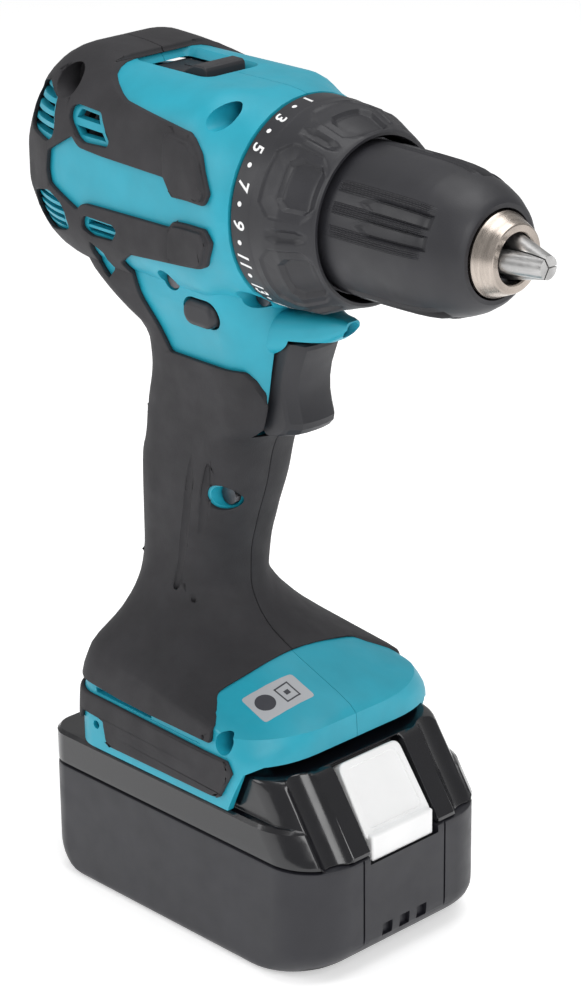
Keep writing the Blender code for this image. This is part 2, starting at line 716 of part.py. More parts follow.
def make_gearbox():
    for stage, names in enumerate((
        ("first_planet", "ring_gear_first"), ("second_planet", "ring_gear_speed"), ("third_planet", "ring_gear_clutch")
    )):
        make_stage(stage, names)
    pinion = [tooth_outline(SUN_TEETH[0], 0.0)]
    axial_plate("motor_pinion", pinion, STAGE_X[0] - 1.2, STAGE_X[0] + GEAR_WIDTH, "steel")
    for stage, name in enumerate(("first_carrier", "second_carrier")):
        carrier, front = make_carrier(name, stage)
        sun = axial_plate(
            name + "_sun", [tooth_outline(SUN_TEETH[stage + 1], 0.0)],
            front - 0.4, STAGE_X[stage + 1] + GEAR_WIDTH, None,
        )
        boolean(carrier, sun, "UNION")
    spindle, front = make_carrier("spindle", 2)
    shaft = rod("spindle_shaft", (front - 0.5, 0, SPINDLE_Z), 66.0 - front + 0.5, 5.8, steps=12)
    boolean(spindle, shaft, "UNION")
    axial_plate("spindle_bearing", [circle(13.4, 20), circle(5.8 + GAP, 12)], 33.0, 40.0, "steel")
    turned(
        "gear_case",
        (
            (43.0, 16.0), (25.2, 16.0), (25.2, 21.5), (-6.9, 21.5), (-6.9, 20.0), (23.0, 20.0),
            (23.0, 13.7), (43.0, 13.7),
        ),
        "dark_steel", 20,
    )


# ---------------------------------------------------------------- clutch and torque ring
SPRING_COILS = 4
SPRING_X = (27.0, 36.4)


def make_clutch():
    steps = 10 * SPRING_COILS
    wire = 0.8
    curve = bpy.data.curves.new("clutch_spring", "CURVE")
    curve.dimensions = "3D"
    curve.bevel_depth = wire
    curve.bevel_resolution = 0
    curve.use_fill_caps = True
    spline = curve.splines.new("POLY")
    spline.points.add(steps)
    for i, point in enumerate(spline.points):
        angle = 2 * math.pi * SPRING_COILS * i / steps
        x = SPRING_X[0] + (SPRING_X[1] - SPRING_X[0]) * i / steps
        point.co = (x, 18.4 * math.cos(angle), SPINDLE_Z + 18.4 * math.sin(angle), 1.0)
    blank = bpy.data.objects.new("spring_wire", curve)
    CUTTERS.objects.link(blank)
    mesh = bpy.data.meshes.new_from_object(blank.evaluated_get(bpy.context.evaluated_depsgraph_get()))
    bpy.data.objects.remove(blank, do_unlink=True)
    bm = bmesh.new()
    bm.from_mesh(mesh)
    bmesh.ops.remove_doubles(bm, verts=bm.verts, dist=0.001)
    finish_bmesh("clutch_spring", bm, "steel")
    turned(
        "spring_holder",
        ((41.0, 21.4), (37.4, 21.4), (37.4, 16.4), (41.0, 16.4)),
        "dark_steel", 20,
    )


def make_torque_ring():
    turned(
        "torque_ring",
        (
            (45.8, 22.6), (45.8, 23.8), (43.0, 25.0), (38.0, 27.0), (35.0, 28.3), (27.5, 28.4), (26.0, 29.3),
            (COLLAR_X + 0.4, 29.4), (COLLAR_X + 0.4, 25.6), (34.0, 25.6), (41.0, 22.6),
        ),
        "black_plastic", 36,
    )


# ---------------------------------------------------------------- chuck
def jaw_edge(x):
    """How far the jaws' outer edge is from the spindle line, at rest."""
    return 3.2 + (JAW_TIP_X - x) * math.tan(JAW_SLOPE)


def jaw_frame(index):
    """A matrix whose +Z runs along one jaw, from its tip backwards and outwards."""
    turn = Matrix.Rotation(math.radians(90 + 360 * index / JAW_COUNT), 4, "X")
    tip_height = jaw_edge(JAW_TIP_X) - JAW_RADIUS / math.cos(JAW_SLOPE)
    lean = Matrix.Rotation(math.radians(-90) + JAW_SLOPE, 4, "Y")
    return (
        Matrix.Translation((0, 0, SPINDLE_Z)) @ turn
        @ Matrix.Translation((JAW_TIP_X, 0, tip_height)) @ lean
    )


def inclined_rod(index, radius, start, length, steps=12):
    """A rod along one jaw's own line, as a bmesh. start is measured back from the tip."""
    bm = bmesh.new()
    bmesh.ops.create_cone(bm, cap_ends=True, segments=steps, radius1=radius, radius2=radius, depth=length)
    bmesh.ops.translate(bm, vec=(0, 0, start + length / 2), verts=bm.verts)
    bmesh.ops.transform(bm, matrix=jaw_frame(index), verts=bm.verts)
    return bm


def trim(bm, point, outward):
    geometry = bm.verts[:] + bm.edges[:] + bm.faces[:]
    cut = bmesh.ops.bisect_plane(bm, geom=geometry, plane_co=point, plane_no=outward, clear_outer=True)
    edges = [item for item in cut["geom_cut"] if isinstance(item, bmesh.types.BMEdge)]
    bmesh.ops.holes_fill(bm, edges=edges)


def make_jaw(index):
    """One jaw: a leaning rod, cut square at the tip and to a third of a circle on the inside."""
    bm = inclined_rod(index, JAW_RADIUS, -4.0, 38.0)
    trim(bm, (JAW_TIP_X, 0, 0), (1, 0, 0))
    middle = math.radians(90 + 360 * index / JAW_COUNT)
    for side in (-1, 1):
        edge = middle + side * math.radians(60)
        outward = Vector((0, -math.cos(edge) * side, -math.sin(edge) * side))
        inset = Vector((0, 0, SPINDLE_Z)) - outward * 0.2
        trim(bm, inset, outward)
    finish_bmesh(f"chuck_jaw_{index + 1}", bm, "steel", (JAW_TIP_X, 0, SPINDLE_Z))


def make_chuck():
    turned(
        "chuck_body",
        (
            (92.0, 9.0), (88.0, 10.3), (87.5, 11.4), (82.4, 13.4), (82.4, 9.4), (75.0, 9.4), (75.0, 15.6),
            (56.0, 15.6), (50.0, 12.0), (50.0, 6.1), (66.4, 6.1), (66.4, 5.0), (92.0, 5.0),
        ),
        "dark_steel", 28,
    )
    body = DRILL.objects["chuck_body"]
    for i in range(JAW_COUNT):
        bore = finish_bmesh(f"jaw_bore_{i}", inclined_rod(i, JAW_RADIUS + 0.35, -4.0, 70.0), None)
        boolean(body, bore)
    turned(
        "nose_collar",
        (
            (95.2, 6.8), (95.2, 9.2), (94.9, 9.6), (89.8, 11.4), (88.0, 11.6), (88.0, 11.0), (92.3, 9.5),
            (92.3, 7.7),
        ),
        "nickel", 28,
    )
    nut_rear = jaw_edge(75.6) + 0.5
    nut_front = jaw_edge(81.0) + 0.5
    turned("chuck_nut", ((81.0, nut_front), (81.0, 16.2), (75.6, 17.4), (75.6, nut_rear)), "steel", 20)
    turned(
        "chuck_sleeve",
        (
            (89.4, 12.0), (89.4, 13.6), (88.0, 15.0), (85.0, 16.9), (79.0, 19.2), (72.0, 20.5), (62.0, 20.8),
            (48.0, 20.3), (46.6, 19.8), (46.6, 18.9), (70.0, 18.9), (80.0, 17.4), (86.4, 14.0), (87.6, 12.0),
        ),
        "black_plastic", 30,
    )
    for i in range(JAW_COUNT):
        make_jaw(i)


# ---------------------------------------------------------------- controls and electronics
TRIGGER_PROFILE = (
    (-1.0, 178.6), (24.6, 178.8), (25.2, 177.6), (22.4, 171.0), (21.6, 165.5), (22.2, 159.5), (23.4, 154.8),
    (22.0, 152.2), (18.0, 150.4), (12.0, 150.0), (9.0, 152.0), (5.5, 157.0), (-1.0, 160.0),
)


def make_controls():
    trigger = plate("trigger", [TRIGGER_PROFILE], "XZ", -9.3, 9.3, "black_plastic")
    round_edges(trigger, 1.4, 2, 50)
    box("switch_body", (-24.5, -10, 154), (-9.0, 10, 179), "black_plastic", bevel=1.0)
    capsule = rounded_rectangle(-6.8, 5.8, 182.2, 189.8, 3.7, 3)
    plate("direction_lever", [capsule], "XZ", -24.0, 24.0, "black_plastic")
    slider = box("speed_slider", (-38.5, -8.6, 244.0), (-3.0, 8.6, 245.6), "black_plastic")
    knob = box("slider_knob", (-23, -7.5, 245.2), (-12.5, 7.5, 250.2))
    boolean(slider, knob, "UNION")
    rod("work_lamp", (24.0, 0, 184.2), 8.0, 2.2, paint="lens", steps=16)
    box("controller", (-32, -24, 63.6), (14, 24, 67.2), "board")
    block = box("terminal_block", (-38, -16, 51.6), (-12, 16, 62.8), "black_plastic")
    for i in range(4):
        y = -12.6 + 7.6 * i
        boolean(block, box(f"terminal_slot_{i}", (-42, y, 48), (-16, y + 2.4, 58.4)))


# ---------------------------------------------------------------- battery
BUTTON_MIDDLE = (48.2, 47.8)


def make_battery():
    half = BATTERY_LENGTH / 2
    lower_side = (
        (-half + 11, 0), (half - 13, 0), (half - 3, 4.5), (half, 9), (half, BATTERY_SEAM_Z),
        (-half, BATTERY_SEAM_Z), (-half + 0.6, 11), (-half + 3.6, 4),
    )
    lower = plate(
        "battery_case_lower", [lower_side], "XZ", -BATTERY_HALF_WIDTH, BATTERY_HALF_WIDTH, "battery_plastic"
    )
    plan = grip_outline(
        -half, half, BATTERY_HALF_WIDTH, BATTERY_REAR_CORNER, BATTERY_FRONT_CORNER, BATTERY_FRONT_CORNER
    )
    corners = plate("battery_plan", [plan], "XY", -10, 80)
    boolean(lower, corners, "INTERSECT")
    round_edges(lower, 2.0, 2, 50)
    cell_space = grip_outline(-half + 3, half - 4, 34.8, 5.2, 13.0, 13.0)
    boolean(lower, plate("cell_space", [cell_space], "XY", 3, 60))
    cells = grip_outline(-half + 5, half - 7, 32.8, 4.0, 11.0, 11.0)
    plate("battery_cells", [cells], "XY", 3.6, BATTERY_SEAM_Z - 0.4, "black_plastic")

    seam = BATTERY_SEAM_Z + GAP
    upper_side = (
        (-half, seam), (half, seam), (half, seam + 1.6), (42.5, BATTERY_TOP_Z - 1.2), (40.0, BATTERY_TOP_Z),
        (BAY_REAR_X + 0.6, BATTERY_TOP_Z), (BAY_REAR_X + 0.6, RAIL_TOP_Z), (-half, RAIL_TOP_Z),
    )
    upper = plate(
        "battery_case_upper", [upper_side], "XZ", -BATTERY_HALF_WIDTH, BATTERY_HALF_WIDTH, "battery_plastic"
    )
    boolean(upper, corners, "INTERSECT")
    for side in (-1, 1):
        low, high = side_levels(side, 35.0, 60)
        boolean(upper, box(f"rail_clear_{side}", (-80, low, RAIL_TOP_Z), (80, high, 80)))
        low, high = side_levels(side, 22.0, 60)
        boolean(upper, box(f"front_channel_{side}", (49.5, low, 40.0), (80, high, 80)))
    boolean(upper, box("cell_space_top", (-38, -32, 30), (36, 32, BATTERY_TOP_Z - 3)))
    boolean(upper, box("terminal_bay", (-70, -18, 50.4), (-8, 18, 70)))
    lean = math.atan2(BATTERY_TOP_Z - seam, half - 41.0)
    x, z = BUTTON_MIDDLE
    pocket = box("button_pocket", (x - 13.9, -13.6, z - 4.6), (x + 16.5, 13.6, z + 20))
    button = box(
        "release_button", (x - 13.4, -13.1, z - 4.1), (x + 9.8, 13.1, z + 0.9), "white_plastic", (x, 0, z)
    )
    for piece in (pocket, button):
        turn_about(piece, (x, 0, z), lean, "Y")
    boolean(upper, pocket)
    boolean(lower, pocket)
    round_edges(button, 1.2, 2)
    rod("charge_button", (-half - 0.6, 20, 28), 3.2, 3.0, paint="rubber", steps=16)
    boolean(lower, rod("charge_button_hole", (-half - 4, 20, 28), 12, 3.3, steps=16))


make_housing()
make_covers()
for screw_name, sizes in CASE_SCREWS.items():
    make_screw(screw_name, *sizes)
make_motor()
make_gearbox()
make_clutch()
make_torque_ring()
make_chuck()
make_controls()
make_battery()
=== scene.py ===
"""Looks of the cordless drill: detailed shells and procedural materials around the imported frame.

Shapes are drawn in millimetres: x forward from the middle of the battery, y to the tool's left and
z up from the standing face. The frame's origin is at the middle of the whole length.
"""

import json
import math

import bmesh
import bpy
from mathutils import Matrix, Vector


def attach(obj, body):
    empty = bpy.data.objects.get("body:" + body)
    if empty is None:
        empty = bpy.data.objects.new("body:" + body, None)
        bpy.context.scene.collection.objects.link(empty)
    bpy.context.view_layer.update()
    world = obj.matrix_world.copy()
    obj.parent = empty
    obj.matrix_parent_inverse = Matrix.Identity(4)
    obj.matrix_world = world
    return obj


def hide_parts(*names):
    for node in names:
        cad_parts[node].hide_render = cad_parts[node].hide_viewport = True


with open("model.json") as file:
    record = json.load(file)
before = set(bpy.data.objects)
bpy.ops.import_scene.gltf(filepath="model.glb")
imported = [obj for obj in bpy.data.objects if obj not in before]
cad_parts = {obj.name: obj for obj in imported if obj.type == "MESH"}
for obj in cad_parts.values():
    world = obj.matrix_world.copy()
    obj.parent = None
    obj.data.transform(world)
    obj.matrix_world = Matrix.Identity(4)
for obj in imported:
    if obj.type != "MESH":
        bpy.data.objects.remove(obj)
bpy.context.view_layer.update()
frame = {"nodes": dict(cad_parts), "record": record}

# ---------------------------------------------------------------- driving dimensions, millimetres
MM = 0.001
REAR_X = -72.0
JAW_TIP_X = 106.0
ORIGIN_X = (REAR_X + JAW_TIP_X) / 2
GAP = 0.3
SEAM_GAP = 0.16

SPINDLE_Z = 217.8
BODY_HALF_WIDTH = 29.5
BODY_TOP_Z = 248.4
COLLAR_X = 19.0
WALL = 2.4
COVER_THICKNESS = 1.6
PAD_THICKNESS = 2.7
BUMPER_THICKNESS = 1.4

BATTERY_LENGTH = 113.0
BATTERY_HALF_WIDTH = 37.6
BATTERY_REAR_CORNER = 8.0
BATTERY_FRONT_CORNER = 16.0
BATTERY_SEAM_Z = 36.0
RAIL_TOP_Z = 47.0
BATTERY_TOP_Z = 59.4
BAY_REAR_X = -41.6
FOOT_RIM_Z = 47.6
FOOT_HALF_WIDTH = 38.2

JAW_SLOPE = math.radians(16.2)
JAW_RADIUS = 3.1
JAW_COUNT = 3
JAW_CLEARANCE = 0.35

WORK = bpy.data.collections.new("shapes")
bpy.context.scene.collection.children.link(WORK)


# ---------------------------------------------------------------- mesh helpers
def new_piece(name, mesh):
    piece = bpy.data.objects.new(name, mesh)
    WORK.objects.link(piece)
    return piece


def from_bmesh(name, bm):
    """An object from a bmesh drawn in millimetres, kept in millimetres until it is finished."""
    bmesh.ops.recalc_face_normals(bm, faces=bm.faces)
    mesh = bpy.data.meshes.new(name)
    bm.to_mesh(mesh)
    bm.free()
    return new_piece(name, mesh)


def apply_modifiers(piece):
    bpy.context.view_layer.update()
    shape = piece.evaluated_get(bpy.context.evaluated_depsgraph_get())
    mesh = bpy.data.meshes.new_from_object(shape)
    piece.modifiers.clear()
    piece.data = mesh
    return piece


def copy_of(piece, name):
    return new_piece(name, piece.data.copy())


def discard(*pieces):
    for piece in pieces:
        bpy.data.objects.remove(piece, do_unlink=True)


def cut(piece, cutters):
    """Cut a piece by a list of objects, which are used up."""
    group = bpy.data.collections.new("cutters")
    for cutter in cutters:
        group.objects.link(cutter)
    modifier = piece.modifiers.new("cut", "BOOLEAN")
    modifier.operation = "DIFFERENCE"
    modifier.solver = "EXACT"
    modifier.operand_type = "COLLECTION"
    modifier.collection = group
    apply_modifiers(piece)
    discard(*cutters)
    bpy.data.collections.remove(group)
    return piece


def combine(piece, other, operation, keep=False):
    modifier = piece.modifiers.new("combine", "BOOLEAN")
    modifier.operation = operation
    modifier.solver = "EXACT"
    modifier.object = other
    apply_modifiers(piece)
    if not keep:
        discard(other)
    return piece


def clean(piece, distance=0.03):
    """Split a cut mesh's many-sided faces into triangles, then merge its slivers."""
    bm = bmesh.new()
    bm.from_mesh(piece.data)
    bmesh.ops.triangulate(bm, faces=[face for face in bm.faces if len(face.verts) > 4])
    bmesh.ops.remove_doubles(bm, verts=bm.verts, dist=distance)
    bmesh.ops.dissolve_degenerate(bm, edges=bm.edges, dist=distance)
    bm.to_mesh(piece.data)
    bm.free()
    return piece


def round_edges(piece, width, segments=2, angle=40, clamp=False):
    bevel = piece.modifiers.new("edges", "BEVEL")
    bevel.width = width
    bevel.segments = segments
    bevel.limit_method = "ANGLE"
    bevel.angle_limit = math.radians(angle)
    bevel.use_clamp_overlap = clamp
    return apply_modifiers(piece)


def finish(piece, material, body, replaces=(), sharp=32, weighted=True):
    """Scale a piece drawn in millimetres into the frame, and give it its material and its body."""
    piece.data.transform(Matrix.Translation((-ORIGIN_X, 0, 0)))
    piece.data.transform(Matrix.Scale(MM, 4))
    piece.data.materials.clear()
    piece.data.materials.append(material)
    piece.data.shade_smooth()
    piece.data.set_sharp_from_angle(angle=math.radians(sharp))
    if weighted:
        normals = piece.modifiers.new("normals", "WEIGHTED_NORMAL")
        normals.keep_sharp = True
        normals.weight = 80
        apply_modifiers(piece)
    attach(piece, body)
    if replaces:
        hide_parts(*replaces)
    return piece


def box(name, low, high):
    bm = bmesh.new()
    bmesh.ops.create_cube(bm, size=1.0)
    bmesh.ops.scale(bm, vec=[b - a for a, b in zip(low, high)], verts=bm.verts)
    bmesh.ops.translate(bm, vec=[(a + b) / 2 for a, b in zip(low, high)], verts=bm.verts)
    return from_bmesh(name, bm)


ROUND_STEPS = 48


def cylinder(length, radius, steps=ROUND_STEPS):
    """A bmesh cylinder along z, centred on the origin."""
    bm = bmesh.new()
    bmesh.ops.create_cone(bm, cap_ends=True, segments=steps, radius1=radius, radius2=radius, depth=length)
    return bm


AXIS_TURN = {
    "X": Matrix.Rotation(math.radians(90), 4, "Y"),
    "Y": Matrix.Rotation(math.radians(-90), 4, "X"),
    "Z": Matrix.Identity(4),
}


def rod(name, start, length, radius, axis="X", steps=ROUND_STEPS):
    """A cylinder that starts at a place and runs along one axis."""
    bm = cylinder(length, radius, steps)
    bmesh.ops.translate(bm, vec=(0, 0, length / 2), verts=bm.verts)
    bmesh.ops.transform(bm, matrix=Matrix.Translation(start) @ AXIS_TURN[axis], verts=bm.verts)
    return from_bmesh(name, bm)


def loft(name, rings):
    """A closed skin through rings that all have the same number of points."""
    bm = bmesh.new()
    rows = [[bm.verts.new(point) for point in ring] for ring in rings]
    count = len(rings[0])
    for near, far in zip(rows, rows[1:]):
        for i in range(count):
            j = (i + 1) % count
            bm.faces.new((near[i], near[j], far[j]))
            bm.faces.new((near[i], far[j], far[i]))
    bm.faces.new(rows[0])
    bm.faces.new(rows[-1])
    return from_bmesh(name, bm)


def level_loft(name, levels):
    """A closed skin through level outlines, each given as its height and its points."""
    return loft(name, [[(u, v, z) for u, v in outline] for z, outline in levels])


# Where an outline's own u and v point, and how a level across it is added.
PLANE_POINT = {
    "XZ": lambda u, v, level: (u, level, v),
    "XY": lambda u, v, level: (u, v, level),
    "YZ": lambda u, v, level: (level, u, v),
}


def plate(name, outline, plane, low, high):
    """An outline given thickness between two levels of the axis across its plane."""
    point = PLANE_POINT[plane]
    bm = bmesh.new()
    near = [bm.verts.new(point(u, v, low)) for u, v in outline]
    far = [bm.verts.new(point(u, v, high)) for u, v in outline]
    bm.faces.new(near)
    bm.faces.new(far)
    count = len(outline)
    for i in range(count):
        j = (i + 1) % count
        bm.faces.new((near[i], near[j], far[j], far[i]))
    return from_bmesh(name, bm)


OUTSIDE_Y = -60


def right_bore(name, x, z, length, radius, steps=ROUND_STEPS):
    """A round cutter that comes in along +Y from outside the right side."""
    return rod(name, (x, OUTSIDE_Y, z), length, radius, axis="Y", steps=steps)


def side_levels(side, near, far):
    return (near, far) if side > 0 else (-far, -near)


def side_plate(name, outline, side, near=0.0, far=60.0):
    low, high = side_levels(side, near, far)
    return plate(name, outline, "XZ", low, high)


def soften(outline, radius, steps=3):
    """Round each corner of an outline with a small curve."""
    points = []
    count = len(outline)
    for i in range(count):
        before = Vector(outline[i - 1])
        corner = Vector(outline[i])
        after = Vector(outline[(i + 1) % count])
        reach = min(radius, (before - corner).length * 0.4, (after - corner).length * 0.4)
        start = corner + (before - corner).normalized() * reach
        end = corner + (after - corner).normalized() * reach
        for k in range(steps + 1):
            t = k / steps
            spot = start * (1 - t) ** 2 + corner * 2 * t * (1 - t) + end * t ** 2
            points.append((spot.x, spot.y))
    return points


def rounded_rectangle(low_u, high_u, low_v, high_v, radius, corner_steps=10):
    points = []
    corners = (
        (high_u - radius, high_v - radius, 0),
        (low_u + radius, high_v - radius, 90),
        (low_u + radius, low_v + radius, 180),
        (high_u - radius, low_v + radius, 270),
    )
    for u, v, start in corners:
        for i in range(corner_steps + 1):
            angle = math.radians(start + 90 * i / corner_steps)
            points.append((u + radius * math.cos(angle), v + radius * math.sin(angle)))
    return points


def turn_about(piece, middle, angle, axis):
    """Turn a piece's mesh about a line through a place, in millimetres."""
    centre = Vector(middle)
    turn = Matrix.Rotation(angle, 4, axis)
    piece.data.transform(Matrix.Translation(centre) @ turn @ Matrix.Translation(-centre))
    return piece


def interpolate(profile, x):
    """The value of a profile of (x, value) points at x, along straight runs."""
    for (x0, v0), (x1, v1) in zip(profile, profile[1:]):
        if x <= x1:
            return v0 + (v1 - v0) * (x - x0) / (x1 - x0)
    return profile[-1][1]


def lathe(name, columns, rows, inner):
    """A ring-shaped solid about the spindle line.

    rows are x stations. columns are the angles, in degrees from straight right (-Y) towards up, with
    a function of (x, angle) that gives the outer radius. inner is a list of (x, radius) points that
    closes the section from the last row back to the first.
    """
    angles, outer = columns
    bm = bmesh.new()
    grid = []
    for angle in angles:
        turn = math.radians(angle)
        section = [(x, outer(x, angle)) for x in rows] + list(inner)
        grid.append([
            bm.verts.new((x, -r * math.cos(turn), SPINDLE_Z + r * math.sin(turn))) for x, r in section
        ])
    count = len(grid[0])
    for near, far in zip(grid, grid[1:] + grid[:1]):
        for i in range(count):
            j = (i + 1) % count
            bm.faces.new((near[i], near[j], far[j], far[i]))
    return from_bmesh(name, bm)


def turned(name, profile, steps=96):
    """A plain turned piece: profile is a closed loop of (x, radius)."""
    angles = [360 * i / steps for i in range(steps)]
    return lathe(name, (angles, lambda x, angle: profile[0][1]), [profile[0][0]], profile[1:])


# ---------------------------------------------------------------- materials
def new_material(name, colour, roughness, metallic=0.0):
    material = bpy.data.materials.new(name)
    material.use_nodes = True
    shader = shader_of(material)
    shader.inputs["Base Color"].default_value = (*colour, 1.0)
    shader.inputs["Roughness"].default_value = roughness
    shader.inputs["Metallic"].default_value = metallic
    return material


def shader_of(material):
    return material.node_tree.nodes["Principled BSDF"]


def add_node(material, kind, **inputs):
    node = material.node_tree.nodes.new(kind)
    for key, value in inputs.items():
        node.inputs[key.replace("_", " ")].default_value = value
    return node


def link(material, source, target):
    material.node_tree.links.new(source, target)


def position(material, stretch=(1, 1, 1)):
    """Place in metres in the frame, which stays with the piece when it moves."""
    place = material.node_tree.nodes.new("ShaderNodeTexCoord")
    mapping = add_node(material, "ShaderNodeMapping", Scale=stretch)
    link(material, place.outputs["Object"], mapping.inputs["Vector"])
    return mapping.outputs["Vector"]


def noise(material, where, size, detail=3.0):
    """Noise whose features are about size metres wide."""
    node = add_node(material, "ShaderNodeTexNoise", Scale=1.0 / size, Detail=detail)
    link(material, where, node.inputs["Vector"])
    return node.outputs["Fac"]


def vary_colour(material, factor, dark, light):
    ramp = material.node_tree.nodes.new("ShaderNodeValToRGB")
    ramp.color_ramp.elements[0].position = 0.35
    ramp.color_ramp.elements[1].position = 0.65
    ramp.color_ramp.elements[0].color = (*dark, 1.0)
    ramp.color_ramp.elements[1].color = (*light, 1.0)
    link(material, factor, ramp.inputs["Fac"])
    shader = shader_of(material)
    link(material, ramp.outputs["Color"], shader.inputs["Base Color"])


def vary_roughness(material, factor, low, high):
    spread = add_node(material, "ShaderNodeMapRange")
    spread.inputs["From Min"].default_value = 0.3
    spread.inputs["From Max"].default_value = 0.7
    spread.inputs["To Min"].default_value = low
    spread.inputs["To Max"].default_value = high
    link(material, factor, spread.inputs["Value"])
    link(material, spread.outputs["Result"], shader_of(material).inputs["Roughness"])


def add_bump(material, height, depth):
    """Bump of a depth in metres. A second call adds to the first."""
    shader = shader_of(material)
    bump = add_node(material, "ShaderNodeBump", Strength=1.0, Distance=depth)
    before = shader.inputs["Normal"].links
    if before:
        link(material, before[0].from_socket, bump.inputs["Normal"])
    link(material, height, bump.inputs["Height"])
    link(material, bump.outputs["Normal"], shader.inputs["Normal"])


def moulded(name, colour, roughness, grain, depth, spread):
    """Moulded plastic or rubber: faint cloudiness, uneven gloss and a spark-eroded grain."""
    material = new_material(name, colour, roughness)
    where = position(material)
    dark = [part * (1 - spread) for part in colour]
    light = [part * (1 + spread) for part in colour]
    vary_colour(material, noise(material, where, 0.014), dark, light)
    vary_roughness(material, noise(material, where, 0.006), roughness - 0.05, roughness + 0.06)
    add_bump(material, noise(material, where, grain, 2.0), depth)
    return material


def metal(name, colour, roughness, stretch=(1, 1, 1), grain=0.0004):
    """Ground or turned metal: fine scratches along one direction and slight staining."""
    material = new_material(name, colour, roughness, 1.0)
    where = position(material, stretch)
    dark = [part * 0.82 for part in colour]
    light = [part * 1.12 for part in colour]
    vary_colour(material, noise(material, where, 0.004), dark, light)
    vary_roughness(material, noise(material, where, grain, 4.0), roughness - 0.08, roughness + 0.10)
    add_bump(material, noise(material, where, grain, 4.0), 0.000012)
    return material


TEAL = moulded("teal_plastic", (0.012, 0.330, 0.445), 0.44, 0.00045, 0.000018, 0.06)
RUBBER = moulded("rubber", (0.020, 0.019, 0.022), 0.72, 0.00050, 0.000045, 0.14)
CHARCOAL = moulded("black_plastic", (0.018, 0.018, 0.022), 0.50, 0.00040, 0.000022, 0.10)
RING_PLASTIC = moulded("ring_plastic", (0.019, 0.019, 0.023), 0.47, 0.00038, 0.000020, 0.10)
BATTERY = moulded("battery_plastic", (0.013, 0.013, 0.018), 0.44, 0.00040, 0.000014, 0.10)
BATTERY_GLOSS = moulded("battery_gloss", (0.004, 0.004, 0.006), 0.20, 0.00060, 0.000006, 0.10)
WHITE = moulded("white_plastic", (0.86, 0.86, 0.86), 0.34, 0.00060, 0.000006, 0.02)
PRINT = moulded("white_print", (0.88, 0.88, 0.88), 0.50, 0.00020, 0.000008, 0.03)
LABEL = moulded("grey_label", (0.42, 0.43, 0.45), 0.48, 0.00030, 0.000005, 0.05)
LABEL_INK = moulded("label_ink", (0.045, 0.046, 0.056), 0.55, 0.00030, 0.000005, 0.08)
BOARD = moulded("circuit_board", (0.02, 0.16, 0.06), 0.42, 0.00080, 0.000020, 0.18)
STEEL = metal("steel", (0.46, 0.455, 0.45), 0.30)
JAW_STEEL = metal("jaw_steel", (0.50, 0.495, 0.49), 0.34, (0.3, 1, 1), 0.0005)
DARK_STEEL = metal("dark_steel", (0.13, 0.13, 0.14), 0.42)
NICKEL = metal("nickel", (0.46, 0.405, 0.36), 0.27, (4, 0.35, 0.35), 0.0005)
COPPER = metal("copper", (0.72, 0.30, 0.14), 0.34, (0.2, 1, 1), 0.0006)


def make_lens():
    material = new_material("lens", (0.80, 0.84, 0.86), 0.10)
    shader = shader_of(material)
    shader.inputs["Coat Weight"].default_value = 0.6
    add_bump(material, noise(material, position(material), 0.0012, 1.0), 0.00004)
    return material


LENS = make_lens()
shader_of(BATTERY_GLOSS).inputs["Coat Weight"].default_value = 0.35
shader_of(BATTERY_GLOSS).inputs["Coat Roughness"].default_value = 0.08

SLOT_MATERIAL = {
    "housing_plastic": TEAL, "rubber_overmould": RUBBER, "black_plastic": CHARCOAL,
    "battery_plastic": BATTERY, "white_plastic": WHITE, "steel": STEEL, "dark_steel": DARK_STEEL,
    "nickel": NICKEL, "copper": COPPER, "circuit_board": BOARD, "lens": LENS,
}


def dress_frame_nodes():
    """Every node of the frame gets the finished material of its slot."""
    slot_of = {row["node"]: row["material_slot"] for row in frame["record"]["subparts"]}
    for name, node in frame["nodes"].items():
        material = SLOT_MATERIAL[slot_of[name]]
        for place in node.material_slots:
            place.material = material


# ---------------------------------------------------------------- the housing's outer form
# Motor barrel, rear to front: x, half width, top, bottom and corner radius.
BARREL_SECTIONS = (
    (REAR_X + COVER_THICKNESS, 21.0, 232.5, 200.0, 12.5),
    (-69.0, 22.6, 237.5, 197.5, 14.0),
    (-65.5, 24.2, 243.2, 194.4, 15.5),
    (-60.5, 26.4, 247.3, 192.0, 17.0),
    (-53.0, 28.6, 249.9, 190.2, 18.5),
    (-46.0, 29.2, 249.6, 189.3, 19.0),
    (-36.0, BODY_HALF_WIDTH, BODY_TOP_Z + 0.2, 188.6, 18.5),
    (2.0, BODY_HALF_WIDTH, BODY_TOP_Z, 188.0, 17.5),
    (10.0, 30.6, BODY_TOP_Z, 187.2, 26.0),
    (COLLAR_X - 3, 31.0, 248.0, 186.8, 30.3),
    (COLLAR_X, 29.8, 247.4, 188.0, 29.4),
)

